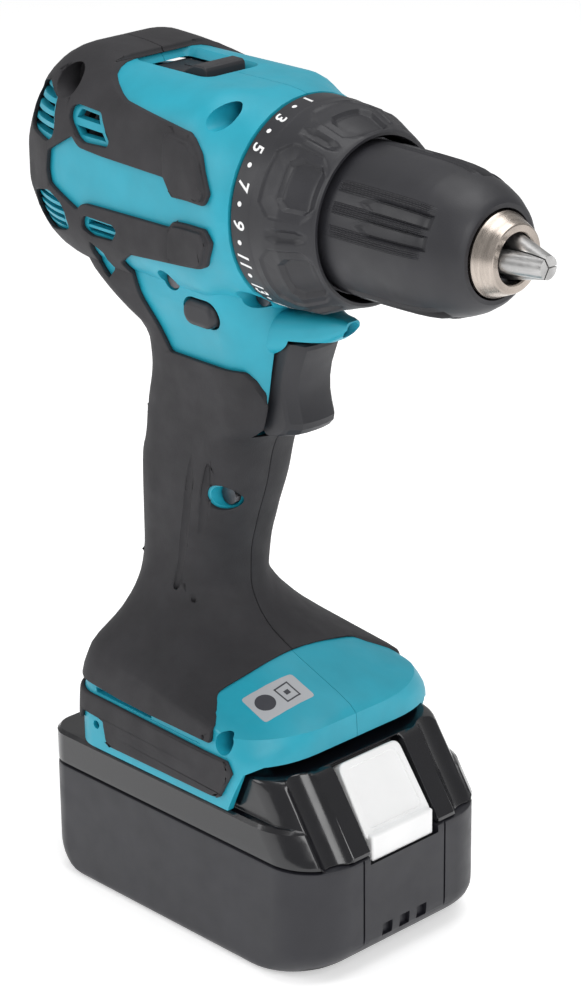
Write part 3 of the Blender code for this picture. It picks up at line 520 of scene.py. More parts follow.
# Neck, grip and foot, top to bottom: z, rear x, front x, half width, rear corner radius, then the
# front corners' length along x and breadth along y.
GRIP_SECTIONS = (
    (206.0, -56.0, 14.0, 24.0, 14.0, 14.0, 14.0),
    (192.0, -52.4, 17.0, 23.2, 13.0, 14.0, 14.0),
    (187.3, -47.8, 17.2, 22.6, 12.5, 13.5, 13.5),
    (184.4, -45.0, 17.2, 21.8, 12.5, 13.5, 13.5),
    (179.5, -39.0, 16.8, 20.2, 12.0, 13.0, 13.0),
    (176.8, -34.8, 16.4, 19.4, 12.0, 12.5, 12.5),
    (171.7, -31.8, 15.8, 18.4, 12.0, 12.5, 12.5),
    (164.6, -32.2, 15.0, 17.0, 11.5, 12.0, 12.0),
    (160.0, -33.2, 14.6, 16.2, 11.4, 12.0, 12.0),
    (152.0, -36.0, 13.0, 15.2, 11.4, 12.0, 12.0),
    (149.5, -37.0, 10.0, 15.0, 11.4, 12.0, 12.0),
    (147.0, -37.8, 5.6, 14.8, 11.4, 11.4, 11.4),
    (142.0, -38.6, 2.8, 14.6, 11.4, 11.4, 11.4),
    (130.0, -40.5, -0.2, 14.4, 11.4, 11.4, 11.4),
    (118.0, -40.9, -4.3, 14.2, 11.4, 11.4, 11.4),
    (106.0, -40.9, -7.2, 14.2, 11.4, 12.4, 12.4),
    (98.0, -40.9, -7.4, 15.4, 11.6, 17.0, 14.6),
    (91.0, -40.3, -4.6, 19.9, 12.2, 22.0, 19.0),
    (85.0, -40.8, 1.6, 25.4, 12.4, 29.0, 25.0),
    (80.0, -42.6, 12.6, 30.4, 12.4, 41.0, 30.0),
    (76.0, -43.9, 23.5, 34.4, 12.4, 46.0, 34.0),
    (71.5, -43.7, 34.6, 36.4, 11.0, 26.0, 32.0),
    (69.5, -43.7, 37.0, 36.8, 10.6, 18.0, 27.0),
    (63.0, -44.2, 37.4, 38.0, 10.4, 13.0, 22.0),
    (55.0, -44.5, 37.5, FOOT_HALF_WIDTH, 10.4, 13.0, 22.0),
    (FOOT_RIM_Z, -44.5, 37.5, FOOT_HALF_WIDTH, 10.4, 13.0, 22.0),
)

# Nose below the ring: x, half width, bottom, top and corner radius.
NOSE_SECTIONS = (
    (6.0, 15.5, 172.5, 187.6, 5.0),
    (14.0, 13.4, 174.2, 187.6, 5.0),
    (20.0, 10.8, 175.9, 187.6, 4.6),
    (26.0, 7.6, 177.9, 187.6, 4.0),
    (31.0, 4.6, 180.3, 187.5, 3.0),
    (34.5, 3.4, 182.8, 187.4, 2.0),
    (36.2, 2.6, 184.4, 187.0, 1.2),
)


def slopes(stations, values):
    """Slopes for a smooth curve that never swings past its own points."""
    runs = [
        (b - a) / (t - s) for s, t, a, b in zip(stations, stations[1:], values, values[1:])
    ]
    result = [runs[0]]
    for left, right in zip(runs, runs[1:]):
        result.append(0.0 if left * right <= 0 else 2 * left * right / (left + right))
    result.append(runs[-1])
    return result


def refine(sections, spacing):
    """More sections between the given ones, along a smooth curve through every column."""
    stations = [row[0] for row in sections]
    columns = list(zip(*sections))[1:]
    tilts = [slopes(stations, column) for column in columns]
    fine = []
    for i, (s, t) in enumerate(zip(stations, stations[1:])):
        steps = max(1, round(abs(t - s) / spacing))
        width = t - s
        for k in range(steps):
            u = k / steps
            row = [s + width * u]
            for column, tilt in zip(columns, tilts):
                row.append(
                    (2 * u ** 3 - 3 * u ** 2 + 1) * column[i] + (u ** 3 - 2 * u ** 2 + u) * width * tilt[i]
                    + (3 * u ** 2 - 2 * u ** 3) * column[i + 1] + (u ** 3 - u ** 2) * width * tilt[i + 1]
                )
            fine.append(tuple(row))
    fine.append(tuple(sections[-1]))
    return fine


def barrel_ring(x, half_width, top, bottom, radius, grow):
    outline = rounded_rectangle(
        -half_width - grow, half_width + grow, bottom - grow, top + grow, max(radius + grow, 0.8)
    )
    return [(x, u, v) for u, v in outline]


def grip_outline(rear, front, half_width, radius, length, breadth, steps=10):
    """A level section of the grip: round rear corners, and front corners that are quarter ellipses."""
    length = min(length, front - rear - radius - 0.3)
    breadth = min(breadth, half_width - 0.3)
    points = []
    corners = (
        (front - length, half_width - breadth, length, breadth, 0),
        (rear + radius, half_width - radius, radius, radius, 90),
        (rear + radius, radius - half_width, radius, radius, 180),
        (front - length, breadth - half_width, length, breadth, 270),
    )
    for x, y, reach_x, reach_y, start in corners:
        for i in range(steps + 1):
            angle = math.radians(start + 90 * i / steps)
            points.append((x + reach_x * math.cos(angle), y + reach_y * math.sin(angle)))
    return points


def end_station(rows, index, grow):
    """Shift a loft's two end stations outwards by the growth, and leave the others."""
    value = rows[index][0]
    if index == 0:
        return value + math.copysign(grow, value - rows[1][0])
    if index == len(rows) - 1:
        return value + math.copysign(grow, value - rows[-2][0])
    return value


SKINS = {}


def skin(grow):
    """The housing's outer form, with every face moved outwards by grow. Made once for each growth."""
    if grow in SKINS:
        return SKINS[grow]
    barrel = refine(BARREL_SECTIONS, 2.6)
    rings = []
    for i, (_, half_width, top, bottom, radius) in enumerate(barrel):
        rings.append(barrel_ring(end_station(barrel, i, grow), half_width, top, bottom, radius, grow))
    body = loft("skin", rings)

    grip = refine(GRIP_SECTIONS, 2.2)
    rings = []
    for i, (_, rear, front, half_width, radius, length, breadth) in enumerate(grip):
        z = end_station(grip, i, grow) if i else grip[0][0]
        outline = grip_outline(
            rear - grow, front + grow, half_width + grow, radius + grow, length + grow, breadth + grow
        )
        rings.append([(u, v, z) for u, v in outline])
    combine(body, loft("skin_grip", rings), "UNION")

    nose = refine(NOSE_SECTIONS, 2.0)
    rings = []
    for i, (_, half_width, bottom, top, radius) in enumerate(nose):
        if top - bottom + 2 * grow < 1.0:
            continue
        x = end_station(nose, i, grow) if i else nose[0][0]
        rings.append(barrel_ring(x, half_width, top, bottom, radius, grow))
    combine(body, loft("skin_nose", rings), "UNION")
    SKINS[grow] = body
    return body


def keep_within(piece, grow):
    """Keep what lies inside the outer form grown by grow."""
    return combine(piece, skin(grow), "INTERSECT", keep=True)


def keep_outside(piece, grow):
    """Keep what lies outside the outer form grown by grow."""
    return combine(piece, skin(grow), "DIFFERENCE", keep=True)


# ---------------------------------------------------------------- outlines on the sides, x and z
# The rubber's edge round the motor barrel's label field and down the grip to the foot.
RUBBER_EDGE = (
    (-90, 265), (-39, 265), (-39, 249.5), (-35.8, 246.7), (-28.8, 243.7), (-24.9, 242.3), (3.4, 239.1),
    (5.5, 237.6), (8.5, 234.3), (11.5, 228.3), (13.6, 224.4), (12, 221.2), (-2, 220.6), (-2.8, 221.5),
    (-5, 225.5), (-30.9, 226.3), (-39.9, 227), (-41.6, 228.1), (-43.2, 229.8), (-55, 223.2),
    (-56.3, 217.1), (-55.2, 213.9), (-42.2, 208.7), (-40.3, 210.6), (-38.1, 211.3), (-3.5, 211.8),
    (-1.8, 213.9), (11.9, 214.8), (14.5, 211.3), (10.4, 203.4), (7.9, 202.3), (-21, 200),
    (-27.1, 196.1), (-24.3, 185.6), (-16.8, 170.2), (10.6, 170.2), (12.3, 167.5), (14, 160),
    (17, 154.5), (22, 149.6), (60, 149.6), (60, 84), (11.2, 82), (10.6, 79), (8.4, 75.6),
    (13.4, 72.9), (16.8, 71.3), (17.2, 69), (17.4, 66.6), (-8, 66.8), (-21, 67.2), (-34.1, 68.2),
    (-46, 68.2), (-90, 68.2),
)
UPPER_PAD = (
    (-4.2, 226.2), (-1.6, 222), (11.4, 222.4), (12.6, 224.6), (7.6, 233.9), (4.6, 236.9), (-4.2, 238),
)
LOWER_PAD = (
    (-3, 211.2), (-0.9, 212.9), (11.4, 213.8), (13.4, 211), (9.7, 204), (7.4, 203.1), (-3, 202.4),
)
SIDE_WINDOW = (
    (-44.4, 234.5), (-44.1, 237.6), (-42, 238.8), (-31.9, 238.2), (-27.1, 231.2), (-28.2, 229.3),
    (-38.4, 228.8), (-40.6, 230),
)
LOWER_WINDOW = (
    (-40.3, 203.7), (-40, 206.2), (-38.7, 207.7), (-26.8, 207.4), (-25.3, 206), (-27.5, 202.7),
    (-36.6, 202.3),
)
REAR_WINDOW = (
    (-66.4, 238.6), (-61.3, 241.4), (-56.8, 242.2), (-50.7, 238.9), (-51.1, 230.5), (-52.3, 227.7),
    (-55.5, 225.7), (-65.6, 226.6), (-67, 229),
)
LOWER_REAR_WINDOW = (
    (-66.2, 208.6), (-61.2, 210.2), (-55.4, 211.5), (-50.5, 209.8), (-48, 207.4), (-46.8, 202.2),
    (-49, 201), (-58, 199.2), (-64.6, 201),
)
SLIVER = ((-38.6, 200), (-33.8, 197.6), (-33.4, 192), (-36.6, 188.6), (-40.4, 193))
GRIP_SLIVER = (
    (-60, 157), (-33.4, 155.6), (-32.2, 148), (-34.6, 139), (-38.4, 133), (-38.9, 124), (-38.2, 112),
    (-39, 102), (-60, 101),
)
# Each window's name, outline and corner radius, and the distances from the middle it is cut between.
RUBBER_WINDOWS = (
    ("side_window", SIDE_WINDOW, 1.0, 10), ("lower_window", LOWER_WINDOW, 0.8, 10),
    ("rear_window", REAR_WINDOW, 1.2, 11.5), ("lower_rear_window", LOWER_REAR_WINDOW, 1.2, 11.5),
    ("sliver", SLIVER, 0.8, 10), ("grip_sliver", GRIP_SLIVER, 1.6, 3.0, 14.5),
)
BUMPER_EDGE = (
    (-48, 65.2), (-30, 64.9), (13, 63.6), (24.4, 63.5), (26.4, 60), (21.5, 51.2), (18, 50.6),
    (-26.3, 50.6), (-27.4, 52.2), (-28.6, 58.2), (-37.9, 58.8), (-39.4, 55), (-48, 55),
)
PAD_SCREW = (-32.5, 55.2)
SLIDER_WINDOW_X = (-38.0, -10.5)
REAR_BORE = (-49.0, 243.6)
LAMP_Z = 184.2

GRIP_SCREW = (-4.5, 127.5)
FOOT_SCREW = (21.5, 67.4)
PIN_HOLE = (14.4, 67.7)

# Screw bores in the right half: x, z, the bore's radius and the y of its bottom.
BORES = (
    (-11.0, 193.8, 3.3, -20.1), (16.0, 193.0, 3.3, -12.1), (*GRIP_SCREW, 3.3, -7.1),
    (8.6, 243.0, 3.3, -9.0), (*FOOT_SCREW, 3.2, -22.0),
)
BOSS_WALL = 1.3
REAR_LINER_RADIUS = 5.6
REAR_HOLE_RADIUS = 4.4


# ---------------------------------------------------------------- housing and its rubber
def vent_cutters():
    """Slots between the louvres, behind the rubber's windows."""
    cuts = []
    for side in (-1, 1):
        for i in range(4):
            z = 227.4 + 3.5 * i
            low, high = side_levels(side, 12.5, 60)
            cuts.append(box(f"rear_slot_{i}", (-90, low, z), (-53.0, high, z + 2.1)))
        for i in range(5):
            z = 199.2 + 2.3 * i
            low, high = side_levels(side, 12.5, 60)
            cuts.append(box(f"low_rear_slot_{i}", (-90, low, z), (-50.0, high, z + 1.3)))
        for outline in (
            ((-42.6, 234.9), (-41.4, 237.4), (-33.8, 236.9), (-32.6, 234.6)),
            ((-40.6, 230.4), (-42.4, 232.9), (-31.4, 232.5), (-29.8, 230.4)),
            ((-38.8, 205.1), (-38.2, 206.7), (-27.4, 206.5), (-27, 205.1)),
            ((-38.6, 203.1), (-38.8, 204.3), (-27.6, 204.2), (-28.6, 203.1)),
        ):
            cuts.append(side_plate("side_slot", outline, side, 18.0))
    return cuts


def housing_cutters():
    window = SLIDER_WINDOW_X
    mouth = []
    for grow, z in ((0.0, 238.0), (0.0, 246.2), (0.5, 247.2), (2.4, 249.6), (2.4, 256.0)):
        outline = rounded_rectangle(window[0] - grow, window[1] + grow, -9 - grow, 9 + grow, 2.0 + grow)
        mouth.append((z, outline))
    cuts = [
        rod("collar_mouth", (12, 0, SPINDLE_Z), 12, 24.0, steps=96),
        box("battery_bay", (BAY_REAR_X, -36.0, 30), (60, 36.0, 60.4)),
        plate("rim_front", ((60, 40), (20.5, 40), (29, 60.0), (33, 62.4), (60, 62.6)), "XZ", -60, 60),
        box("trigger_mouth", (-2, -10.2, 148), (40, 10.2, 180.2)),
        level_loft("slider_window", mouth),
        plate("lever_window", rounded_rectangle(-7.5, 6.5, 181.6, 190.4, 4.2), "XZ", -40, 40),
        rod("lamp_hole", (20, 0, LAMP_Z), 30, 2.5, steps=32),
    ]
    return cuts + vent_cutters()


def right_side_bores():
    cuts = [right_bore("bore", x, z, bottom - OUTSIDE_Y, radius) for x, z, radius, bottom in BORES]
    cuts.append(right_bore("rear_bore", *REAR_BORE, 44, REAR_LINER_RADIUS + 0.05))
    cuts.append(right_bore("pad_bore", *PAD_SCREW, 23.5, 1.3))
    return cuts


def add_bosses(half):
    """Thick walls round the screw bores, inside the right half."""
    for x, z, radius, bottom in BORES:
        boss = right_bore("boss", x, z, bottom - OUTSIDE_Y - 0.3, radius + BOSS_WALL, 40)
        keep_within(boss, -0.4)
        combine(half, boss, "UNION")


def foot_strip(side):
    """The long shallow slot in the foot's side, deeper towards the rear."""
    shallow = side_plate("strip", ((-33.6, 67.6), (-33.0, 65.4), (12.4, 64.4), (10.6, 66.4)), side, 37.6)
    deep = side_plate("strip_deep", ((-33.0, 67.0), (-32.4, 65.6), (-8.6, 65.1), (-8.4, 66.5)), side, 35.6)
    return [shallow, deep]


def make_housing():
    shell = copy_of(skin(0.0), "shell")
    keep_outside(shell, -WALL)
    cut(shell, housing_cutters())
    for side, name in ((-1, "right"), (1, "left")):
        half = copy_of(shell, "moulded_housing_" + name)
        low, high = side_levels(side, SEAM_GAP / 2, 80)
        combine(half, box("half_space", (-120, low, -20), (140, high, 300)), "INTERSECT")
        if side < 0:
            add_bosses(half)
        cut(half, (right_side_bores() if side < 0 else []) + foot_strip(side))
        clean(half)
        finish(half, TEAL, "body", ["housing_" + name], sharp=28)
    discard(shell)


def grip_grooves(side):
    """Two finger flutes that run down the side of the grip."""
    cuts = []
    for start, end, half in (((-12.2, 141.0), (-20.4, 94.0), 16.6), ((-6.4, 138.0), (-14.0, 92.0), 15.6)):
        run = Vector((end[0] - start[0], 0, end[1] - start[1]))
        bm = bmesh.new()
        bmesh.ops.create_uvsphere(bm, u_segments=24, v_segments=24, radius=1.0)
        bmesh.ops.scale(bm, vec=(1.5, 2.0, run.length / 2), verts=bm.verts)
        lean = run.to_track_quat("Z", "Y").to_matrix().to_4x4()
        middle = ((start[0] + end[0]) / 2, side * half, (start[1] + end[1]) / 2)
        bmesh.ops.transform(bm, matrix=Matrix.Translation(middle) @ lean, verts=bm.verts)
        cuts.append(from_bmesh("flute", bm))
    return cuts


def cover_windows(side):
    cuts = [
        side_plate(name, soften(outline, radius), side, *levels)
        for name, outline, radius, *levels in RUBBER_WINDOWS
    ]
    cuts.append(box("trigger_clear", (-2, -11, 148.5), (60, 11, 182)))
    if side < 0:
        cuts.append(right_bore("grip_hole", *GRIP_SCREW, 58, 4.0))
        cuts.append(right_bore("rear_hole", *REAR_BORE, 42, REAR_HOLE_RADIUS))
        cuts.append(right_bore("foot_hole", *FOOT_SCREW, 50, 4.4))
        cuts.append(right_bore("pin_hole", *PIN_HOLE, 22, 0.5, 16))
    return cuts


def make_rubber():
    """One soft skin on each side, from the motor's tail to the foot, with raised pads on its two arms."""
    for side, name in ((-1, "right"), (1, "left")):
        cover = side_plate("soft_grip_" + name, soften(RUBBER_EDGE, 0.9), side, 0.05)
        keep_within(cover, COVER_THICKNESS)
        for label, outline in (("upper_pad", UPPER_PAD), ("lower_pad", LOWER_PAD)):
            pad = side_plate(label, soften(outline, 0.8), side, 20)
            keep_within(pad, PAD_THICKNESS)
            combine(cover, pad, "UNION")
        keep_outside(cover, 0.0)
        if side < 0:
            liner = right_bore("liner", *REAR_BORE, 43.5, REAR_LINER_RADIUS)
            keep_within(liner, 0.4)
            combine(cover, liner, "UNION")
        cut(cover, cover_windows(side) + grip_grooves(side))
        clean(cover)
        round_edges(cover, 0.45, 2, 50)
        finish(
            cover, RUBBER, "body", [f"rear_cover_{name}", f"grip_cover_{name}"], sharp=40
        )

        bumper = side_plate("foot_guard_" + name, soften(BUMPER_EDGE, 0.7), side, 20)
        keep_within(bumper, BUMPER_THICKNESS)
        keep_outside(bumper, -0.2)
        clean(bumper)
        round_edges(bumper, 0.7, 3, 50)
        finish(bumper, RUBBER, "body", ["foot_bumper_" + name], sharp=40)


# ---------------------------------------------------------------- torque ring
RING_PROFILE = (
    (COLLAR_X + 0.4, 28.9), (COLLAR_X + 0.9, 29.4), (25.6, 29.35), (26.4, 29.1), (31.0, 28.9),
    (35.5, 28.5), (38.5, 27.3), (43.0, 25.3), (45.2, 24.2), (45.8, 23.6),
)
RECESS_MIDDLE = (37.2, 29.0)
RECESS_COUNT = 6
NUMERAL_START = 84.0
NUMERAL_PITCH = 10.4
NUMERAL_X = 22.7
NUMERAL_HEIGHT = 4.0
TEXT_SIZE_PER_HEIGHT = 1.38
DOT_RADIUS = 0.72
BAND_RADIUS = 29.4
RECESS_ARC_RADIUS = 28


def ramp(value, low, high):
    """0 below low, 1 above high and a straight run between."""
    return min(1.0, max(0.0, (value - low) / (high - low)))


def ring_radius(x, angle):
    """The ring's outer radius: lobes with a hexagonal recess each, and a notch between lobes."""
    radius = interpolate(RING_PROFILE, x)
    if x < 26.4:
        return radius
    pitch = 360 / RECESS_COUNT
    off = (angle - RECESS_MIDDLE[1] + pitch / 2) % pitch - pitch / 2
    across = math.radians(off) * RECESS_ARC_RADIUS
    along = x - RECESS_MIDDLE[0]
    outer = max(abs(across) / 10.6, abs(along) / 8.4, (abs(across) + abs(along)) / 15.4)
    forward = along - 2.4
    inner = max(abs(across) / 7.8, abs(forward) / 5.6, (abs(across) + abs(forward)) / 10.8)
    depth = 0.55 * ramp(1.0 - outer, 0.0, 0.05) + 0.45 * ramp(1.0 - outer, 0.05, 0.5)
    depth += 1.35 * ramp(1.0 - inner, 0.0, 0.12)
    away = abs(across) - math.radians(pitch / 2) * RECESS_ARC_RADIUS
    notch = max(abs(away) / 2.0, abs(along - 0.8) / 6.2, abs(away) / 2.0 * 0.6 + abs(along - 0.8) / 6.2 * 0.7)
    depth += 1.25 * ramp(1.0 - notch, 0.0, 0.55)
    fade = ramp(45.4 - x, 0.0, 3.0)
    return radius - depth * fade


def text_mesh(label, size, depth, shear=0.0, offset=0.0, resolution=12):
    """A figure as a solid mesh, centred on the origin in the plane of x and y."""
    curve = bpy.data.curves.new("figure", "FONT")
    curve.body = label
    curve.size = size
    curve.align_x = "CENTER"
    curve.align_y = "CENTER"
    curve.shear = shear
    curve.offset = offset
    curve.extrude = depth
    curve.resolution_u = resolution
    blank = bpy.data.objects.new("figure", curve)
    WORK.objects.link(blank)
    bpy.context.view_layer.update()
    mesh = bpy.data.meshes.new_from_object(blank.evaluated_get(bpy.context.evaluated_depsgraph_get()))
    discard(blank)
    return mesh


def ring_text(label, angle):
    """Printed figures bent round the ring's rear band. Their tops point forward."""
    return bend_round(text_mesh(label, NUMERAL_HEIGHT * TEXT_SIZE_PER_HEIGHT, 0.08, 0.18, 0.09, 3), angle)


def bend_round(mesh, angle):
    """Wrap a flat mesh round the ring's rear band, about an angle."""
    bm = bmesh.new()
    bm.from_mesh(mesh)
    bmesh.ops.remove_doubles(bm, verts=bm.verts, dist=0.0005)
    for vert in bm.verts:
        u, v, w = vert.co
        x = NUMERAL_X + v
        radius = interpolate(RING_PROFILE, x) + w - 0.02
        turn = math.radians(angle) - u / BAND_RADIUS
        vert.co = (x, -radius * math.cos(turn), SPINDLE_Z + radius * math.sin(turn))
    return from_bmesh("print", bm)


def ring_dot(angle):
    bm = cylinder(0.16, DOT_RADIUS, 20)
    mesh = bpy.data.meshes.new("dot")
    bm.to_mesh(mesh)
    bm.free()
    return bend_round(mesh, angle)


def join(name, pieces):
    """One piece made of several separate solids."""
    bm = bmesh.new()
    for piece in pieces:
        bm.from_mesh(piece.data)
    mesh = bpy.data.meshes.new(name)
    bm.to_mesh(mesh)
    bm.free()
    discard(*pieces)
    return new_piece(name, mesh)


def make_torque_ring():
    rows = [COLLAR_X + 0.4, COLLAR_X + 0.9, 22.0, 25.6, 26.4]
    rows += [26.4 + 0.45 * i for i in range(1, 43)] + [45.5, 45.8]
    inner = [(45.8, 22.8), (45.4, 22.6), (41.0, 22.6), (34.0, 25.6), (COLLAR_X + 0.4, 25.6)]
    angles = [i * 0.8 for i in range(450)]
    ring = lathe("clutch_ring", (angles, ring_radius), rows, inner)
    finish(ring, RING_PLASTIC, "torque_selector", ["torque_ring"], sharp=24)
    marks = []
    for step in range(21):
        angle = NUMERAL_START - NUMERAL_PITCH * step
        marks.append(ring_dot(angle) if step % 2 else ring_text(str(step + 1), angle))
    figures = join("clutch_figures", marks)
    finish(figures, PRINT, "torque_selector", weighted=False)


# ---------------------------------------------------------------- chuck
SLEEVE_PROFILE = (
    (42.4, 20.6), (42.9, 21.0), (54, 21.0), (62, 20.9), (68, 20.75), (72, 20.5), (76, 20.0), (79, 19.2),
    (82, 18.2), (85, 16.9), (88, 15.0), (89, 14.1), (89.4, 13.4),
)
RIB_BANDS = (40.0, 23.0, 6.0)
FLATS = (31.5, 14.5)
GROUP_COUNT = 4
RIBS_PER_BAND = 6
BAND_HALF = 4.4
RIB_START_X = 48.0
RIB_END_X = 79.5
RIB_HEIGHT = 0.26
SLEEVE_ARC_RADIUS = 20.6
FLAT_MIDDLE_X = 68.5
FLAT_HALF_WIDTH = 2.3
FLAT_HALF_LENGTH = 12.0
FLAT_DEPTH = 1.5


def nearest_off(angle, middles):
    """The signed angle from the nearest of some middles, which repeat round the sleeve."""
    pitch = 360 / GROUP_COUNT
    offs = [(angle - middle + pitch / 2) % pitch - pitch / 2 for middle in middles]
    return min(offs, key=abs)


def sleeve_radius(x, angle):
    """The sleeve's outer radius: bands of fine ribs, and shallow flats between them."""
    radius = interpolate(SLEEVE_PROFILE, x)
    band = nearest_off(angle, RIB_BANDS)
    if abs(band) < BAND_HALF and RIB_START_X < x < RIB_END_X:
        wave = 0.5 - 0.5 * math.cos(2 * math.pi * RIBS_PER_BAND * (band + BAND_HALF) / (2 * BAND_HALF))
        radius += RIB_HEIGHT * (wave - 0.35) * ramp(RIB_END_X - x, 0.0, 1.2)
    flat = math.radians(nearest_off(angle, FLATS)) * SLEEVE_ARC_RADIUS
    along = x - FLAT_MIDDLE_X
    wide = abs(flat) / FLAT_HALF_WIDTH
    edge = max(wide, abs(along) / FLAT_HALF_LENGTH, wide * 0.35 + max(0.0, -along) / FLAT_HALF_LENGTH)
    lean = 0.55 + 0.45 * ramp(x, 57.0, 80.0)
    return radius - FLAT_DEPTH * lean * ramp(1.0 - edge, 0.0, 0.16)


def sleeve_angles():
    """Close steps over the ribs and wide ones elsewhere."""
    angles = []
    for group in range(GROUP_COUNT):
        start = 90.0 * group - 20.0
        angle = start
        while angle < start + 90.0 - 1e-6:
            angles.append(angle)
            angle += 0.2 if abs(nearest_off(angle, RIB_BANDS)) < BAND_HALF + 0.2 else 0.5
    return angles


def make_sleeve():
    rows = [42.4, 42.9, 48.0, 48.6, 51.0, 54.0]
    rows += [55.0 + 1.0 * i for i in range(25)] + [80.2, 80.6, 81.4, 83.0, 85.0, 86.5, 88.0, 89.0, 89.4]
    inner = [(89.4, 12.2), (87.6, 12.0), (86.4, 14.0), (80.0, 17.4), (70.0, 18.9), (42.4, 18.9)]
    sleeve = lathe("chuck_grip", (sleeve_angles(), sleeve_radius), rows, inner)
    finish(sleeve, RING_PLASTIC, "sleeve", ["chuck_sleeve"], sharp=24)


def jaw_edge(x):
    return 3.2 + (JAW_TIP_X - x) * math.tan(JAW_SLOPE)


def jaw_frame(index):
    """A matrix whose +Z runs along one jaw, from its tip backwards and outwards."""
    turn = Matrix.Rotation(math.radians(90 + 360 * index / JAW_COUNT), 4, "X")
    tip_height = jaw_edge(JAW_TIP_X) - JAW_RADIUS / math.cos(JAW_SLOPE)
    lean = Matrix.Rotation(math.radians(-90) + JAW_SLOPE, 4, "Y")
    return (
        Matrix.Translation((0, 0, SPINDLE_Z)) @ turn
        @ Matrix.Translation((JAW_TIP_X, 0, tip_height)) @ lean
    )


def inclined_rod(index, radius, start, length):
    """A bmesh cylinder along one jaw's line."""
    bm = cylinder(length, radius)
    bmesh.ops.translate(bm, vec=(0, 0, start + length / 2), verts=bm.verts)
    bmesh.ops.transform(bm, matrix=jaw_frame(index), verts=bm.verts)
    return bm


def trim(bm, point, outward):
    geometry = bm.verts[:] + bm.edges[:] + bm.faces[:]
    bmesh.ops.bisect_plane(bm, geom=geometry, plane_co=point, plane_no=outward, clear_outer=True)
    edges = [edge for edge in bm.edges if edge.is_boundary]
    bmesh.ops.holes_fill(bm, edges=edges)


def make_jaw(index):
    """A leaning rod, cut to a third of a circle on the inside and chamfered round its square tip."""
    bm = inclined_rod(index, JAW_RADIUS, -4.0, 38.0)
    trim(bm, (JAW_TIP_X, 0, 0), (1, 0, 0))
    middle = math.radians(90 + 360 * index / JAW_COUNT)
    for side in (-1, 1):
        edge = middle + side * math.radians(60)
        outward = Vector((0, -math.cos(edge) * side, -math.sin(edge) * side))
        trim(bm, Vector((0, 0, SPINDLE_Z)) - outward * 0.2, outward)
    jaw = from_bmesh(f"gripping_jaw_{index + 1}", bm)
    round_edges(jaw, 0.18, 2, 40, clamp=True)
    finish(jaw, JAW_STEEL, f"jaw_{index + 1}", [f"chuck_jaw_{index + 1}"], sharp=35)


def make_chuck():
    body = turned("chuck_core", (
        (92.0, 9.0), (88.0, 10.3), (87.5, 11.4), (82.4, 13.4), (82.4, 9.4), (75.0, 9.4), (75.0, 15.6),
        (56.0, 15.6), (50.0, 12.0), (50.0, 6.1), (66.4, 6.1), (66.4, 5.0), (91.2, 5.0), (92.0, 5.8),
    ))
    bores = [inclined_rod(i, JAW_RADIUS + JAW_CLEARANCE, -4.0, 70.0) for i in range(JAW_COUNT)]
    cut(body, [from_bmesh("jaw_bore", bore) for bore in bores])
    finish(body, DARK_STEEL, "chuck", ["chuck_body"])
    collar = turned("nose_ring", (
        (95.2, 7.2), (95.2, 8.9), (95.0, 9.25), (94.6, 9.5), (90.3, 11.25), (89.8, 11.55), (88.0, 11.6),
        (88.0, 11.0), (92.3, 9.5), (92.3, 7.7), (94.8, 6.9),
    ), 128)
    finish(collar, NICKEL, "chuck", ["nose_collar"], sharp=25)
    for index in range(JAW_COUNT):
        make_jaw(index)


# ---------------------------------------------------------------- controls
# The trigger's outline from the top rear, round the finger face and back. The last value says how
# far a point draws back at the trigger's sides.
TRIGGER_PROFILE = (
    (-1.0, 178.6, 0.0), (10.0, 178.8, 0.0), (23.6, 178.9, 0.5), (25.0, 178.2, 0.9), (25.1, 177.0, 1.0),
    (23.8, 173.6, 1.0), (22.5, 170.0, 1.0), (21.8, 166.0, 1.0), (21.8, 162.0, 1.0), (22.6, 158.0, 1.0),
    (23.4, 155.2, 1.0), (23.1, 153.4, 1.0), (21.4, 151.6, 1.0), (18.4, 150.5, 0.8), (14.6, 150.0, 0.4),
    (11.6, 150.2, 0.1), (9.0, 152.0, 0.0), (5.5, 157.0, 0.0), (2.0, 158.9, 0.0), (-1.0, 160.0, 0.0),
)


# From each side in to the middle: the distance from the middle, and how far the face draws back.
TRIGGER_SIDE = ((9.3, 5.6), (9.15, 4.6), (8.6, 3.4), (6.6, 1.2), (6.0, 0.75), (3.0, 0.15))
LEVER_SIDE = ((24.0, 1.9), (23.9, 1.2), (23.5, 0.5), (22.9, 0.1), (22.0, 0.0))


def make_trigger():
    rows = [(-y, draw) for y, draw in TRIGGER_SIDE] + [(0, 0)] + list(reversed(TRIGGER_SIDE))
    rings = [[(x - draw * share, y, z) for x, z, share in TRIGGER_PROFILE] for y, draw in rows]
    trigger = loft("finger_trigger", rings)
    finish(trigger, CHARCOAL, "trigger_body", ["trigger"], sharp=16)


def make_lever():
    rings = []
    for y, draw in [(-y, draw) for y, draw in LEVER_SIDE] + list(reversed(LEVER_SIDE)):
        outline = rounded_rectangle(-6.8 + draw, 5.8 - draw, 182.2 + draw, 189.8 - draw, 3.7 - draw, 8)
        rings.append([(u, y, v) for u, v in outline])
    lever = loft("reversing_lever", rings)
    finish(lever, CHARCOAL, "direction_switch", ["direction_lever"], sharp=30)


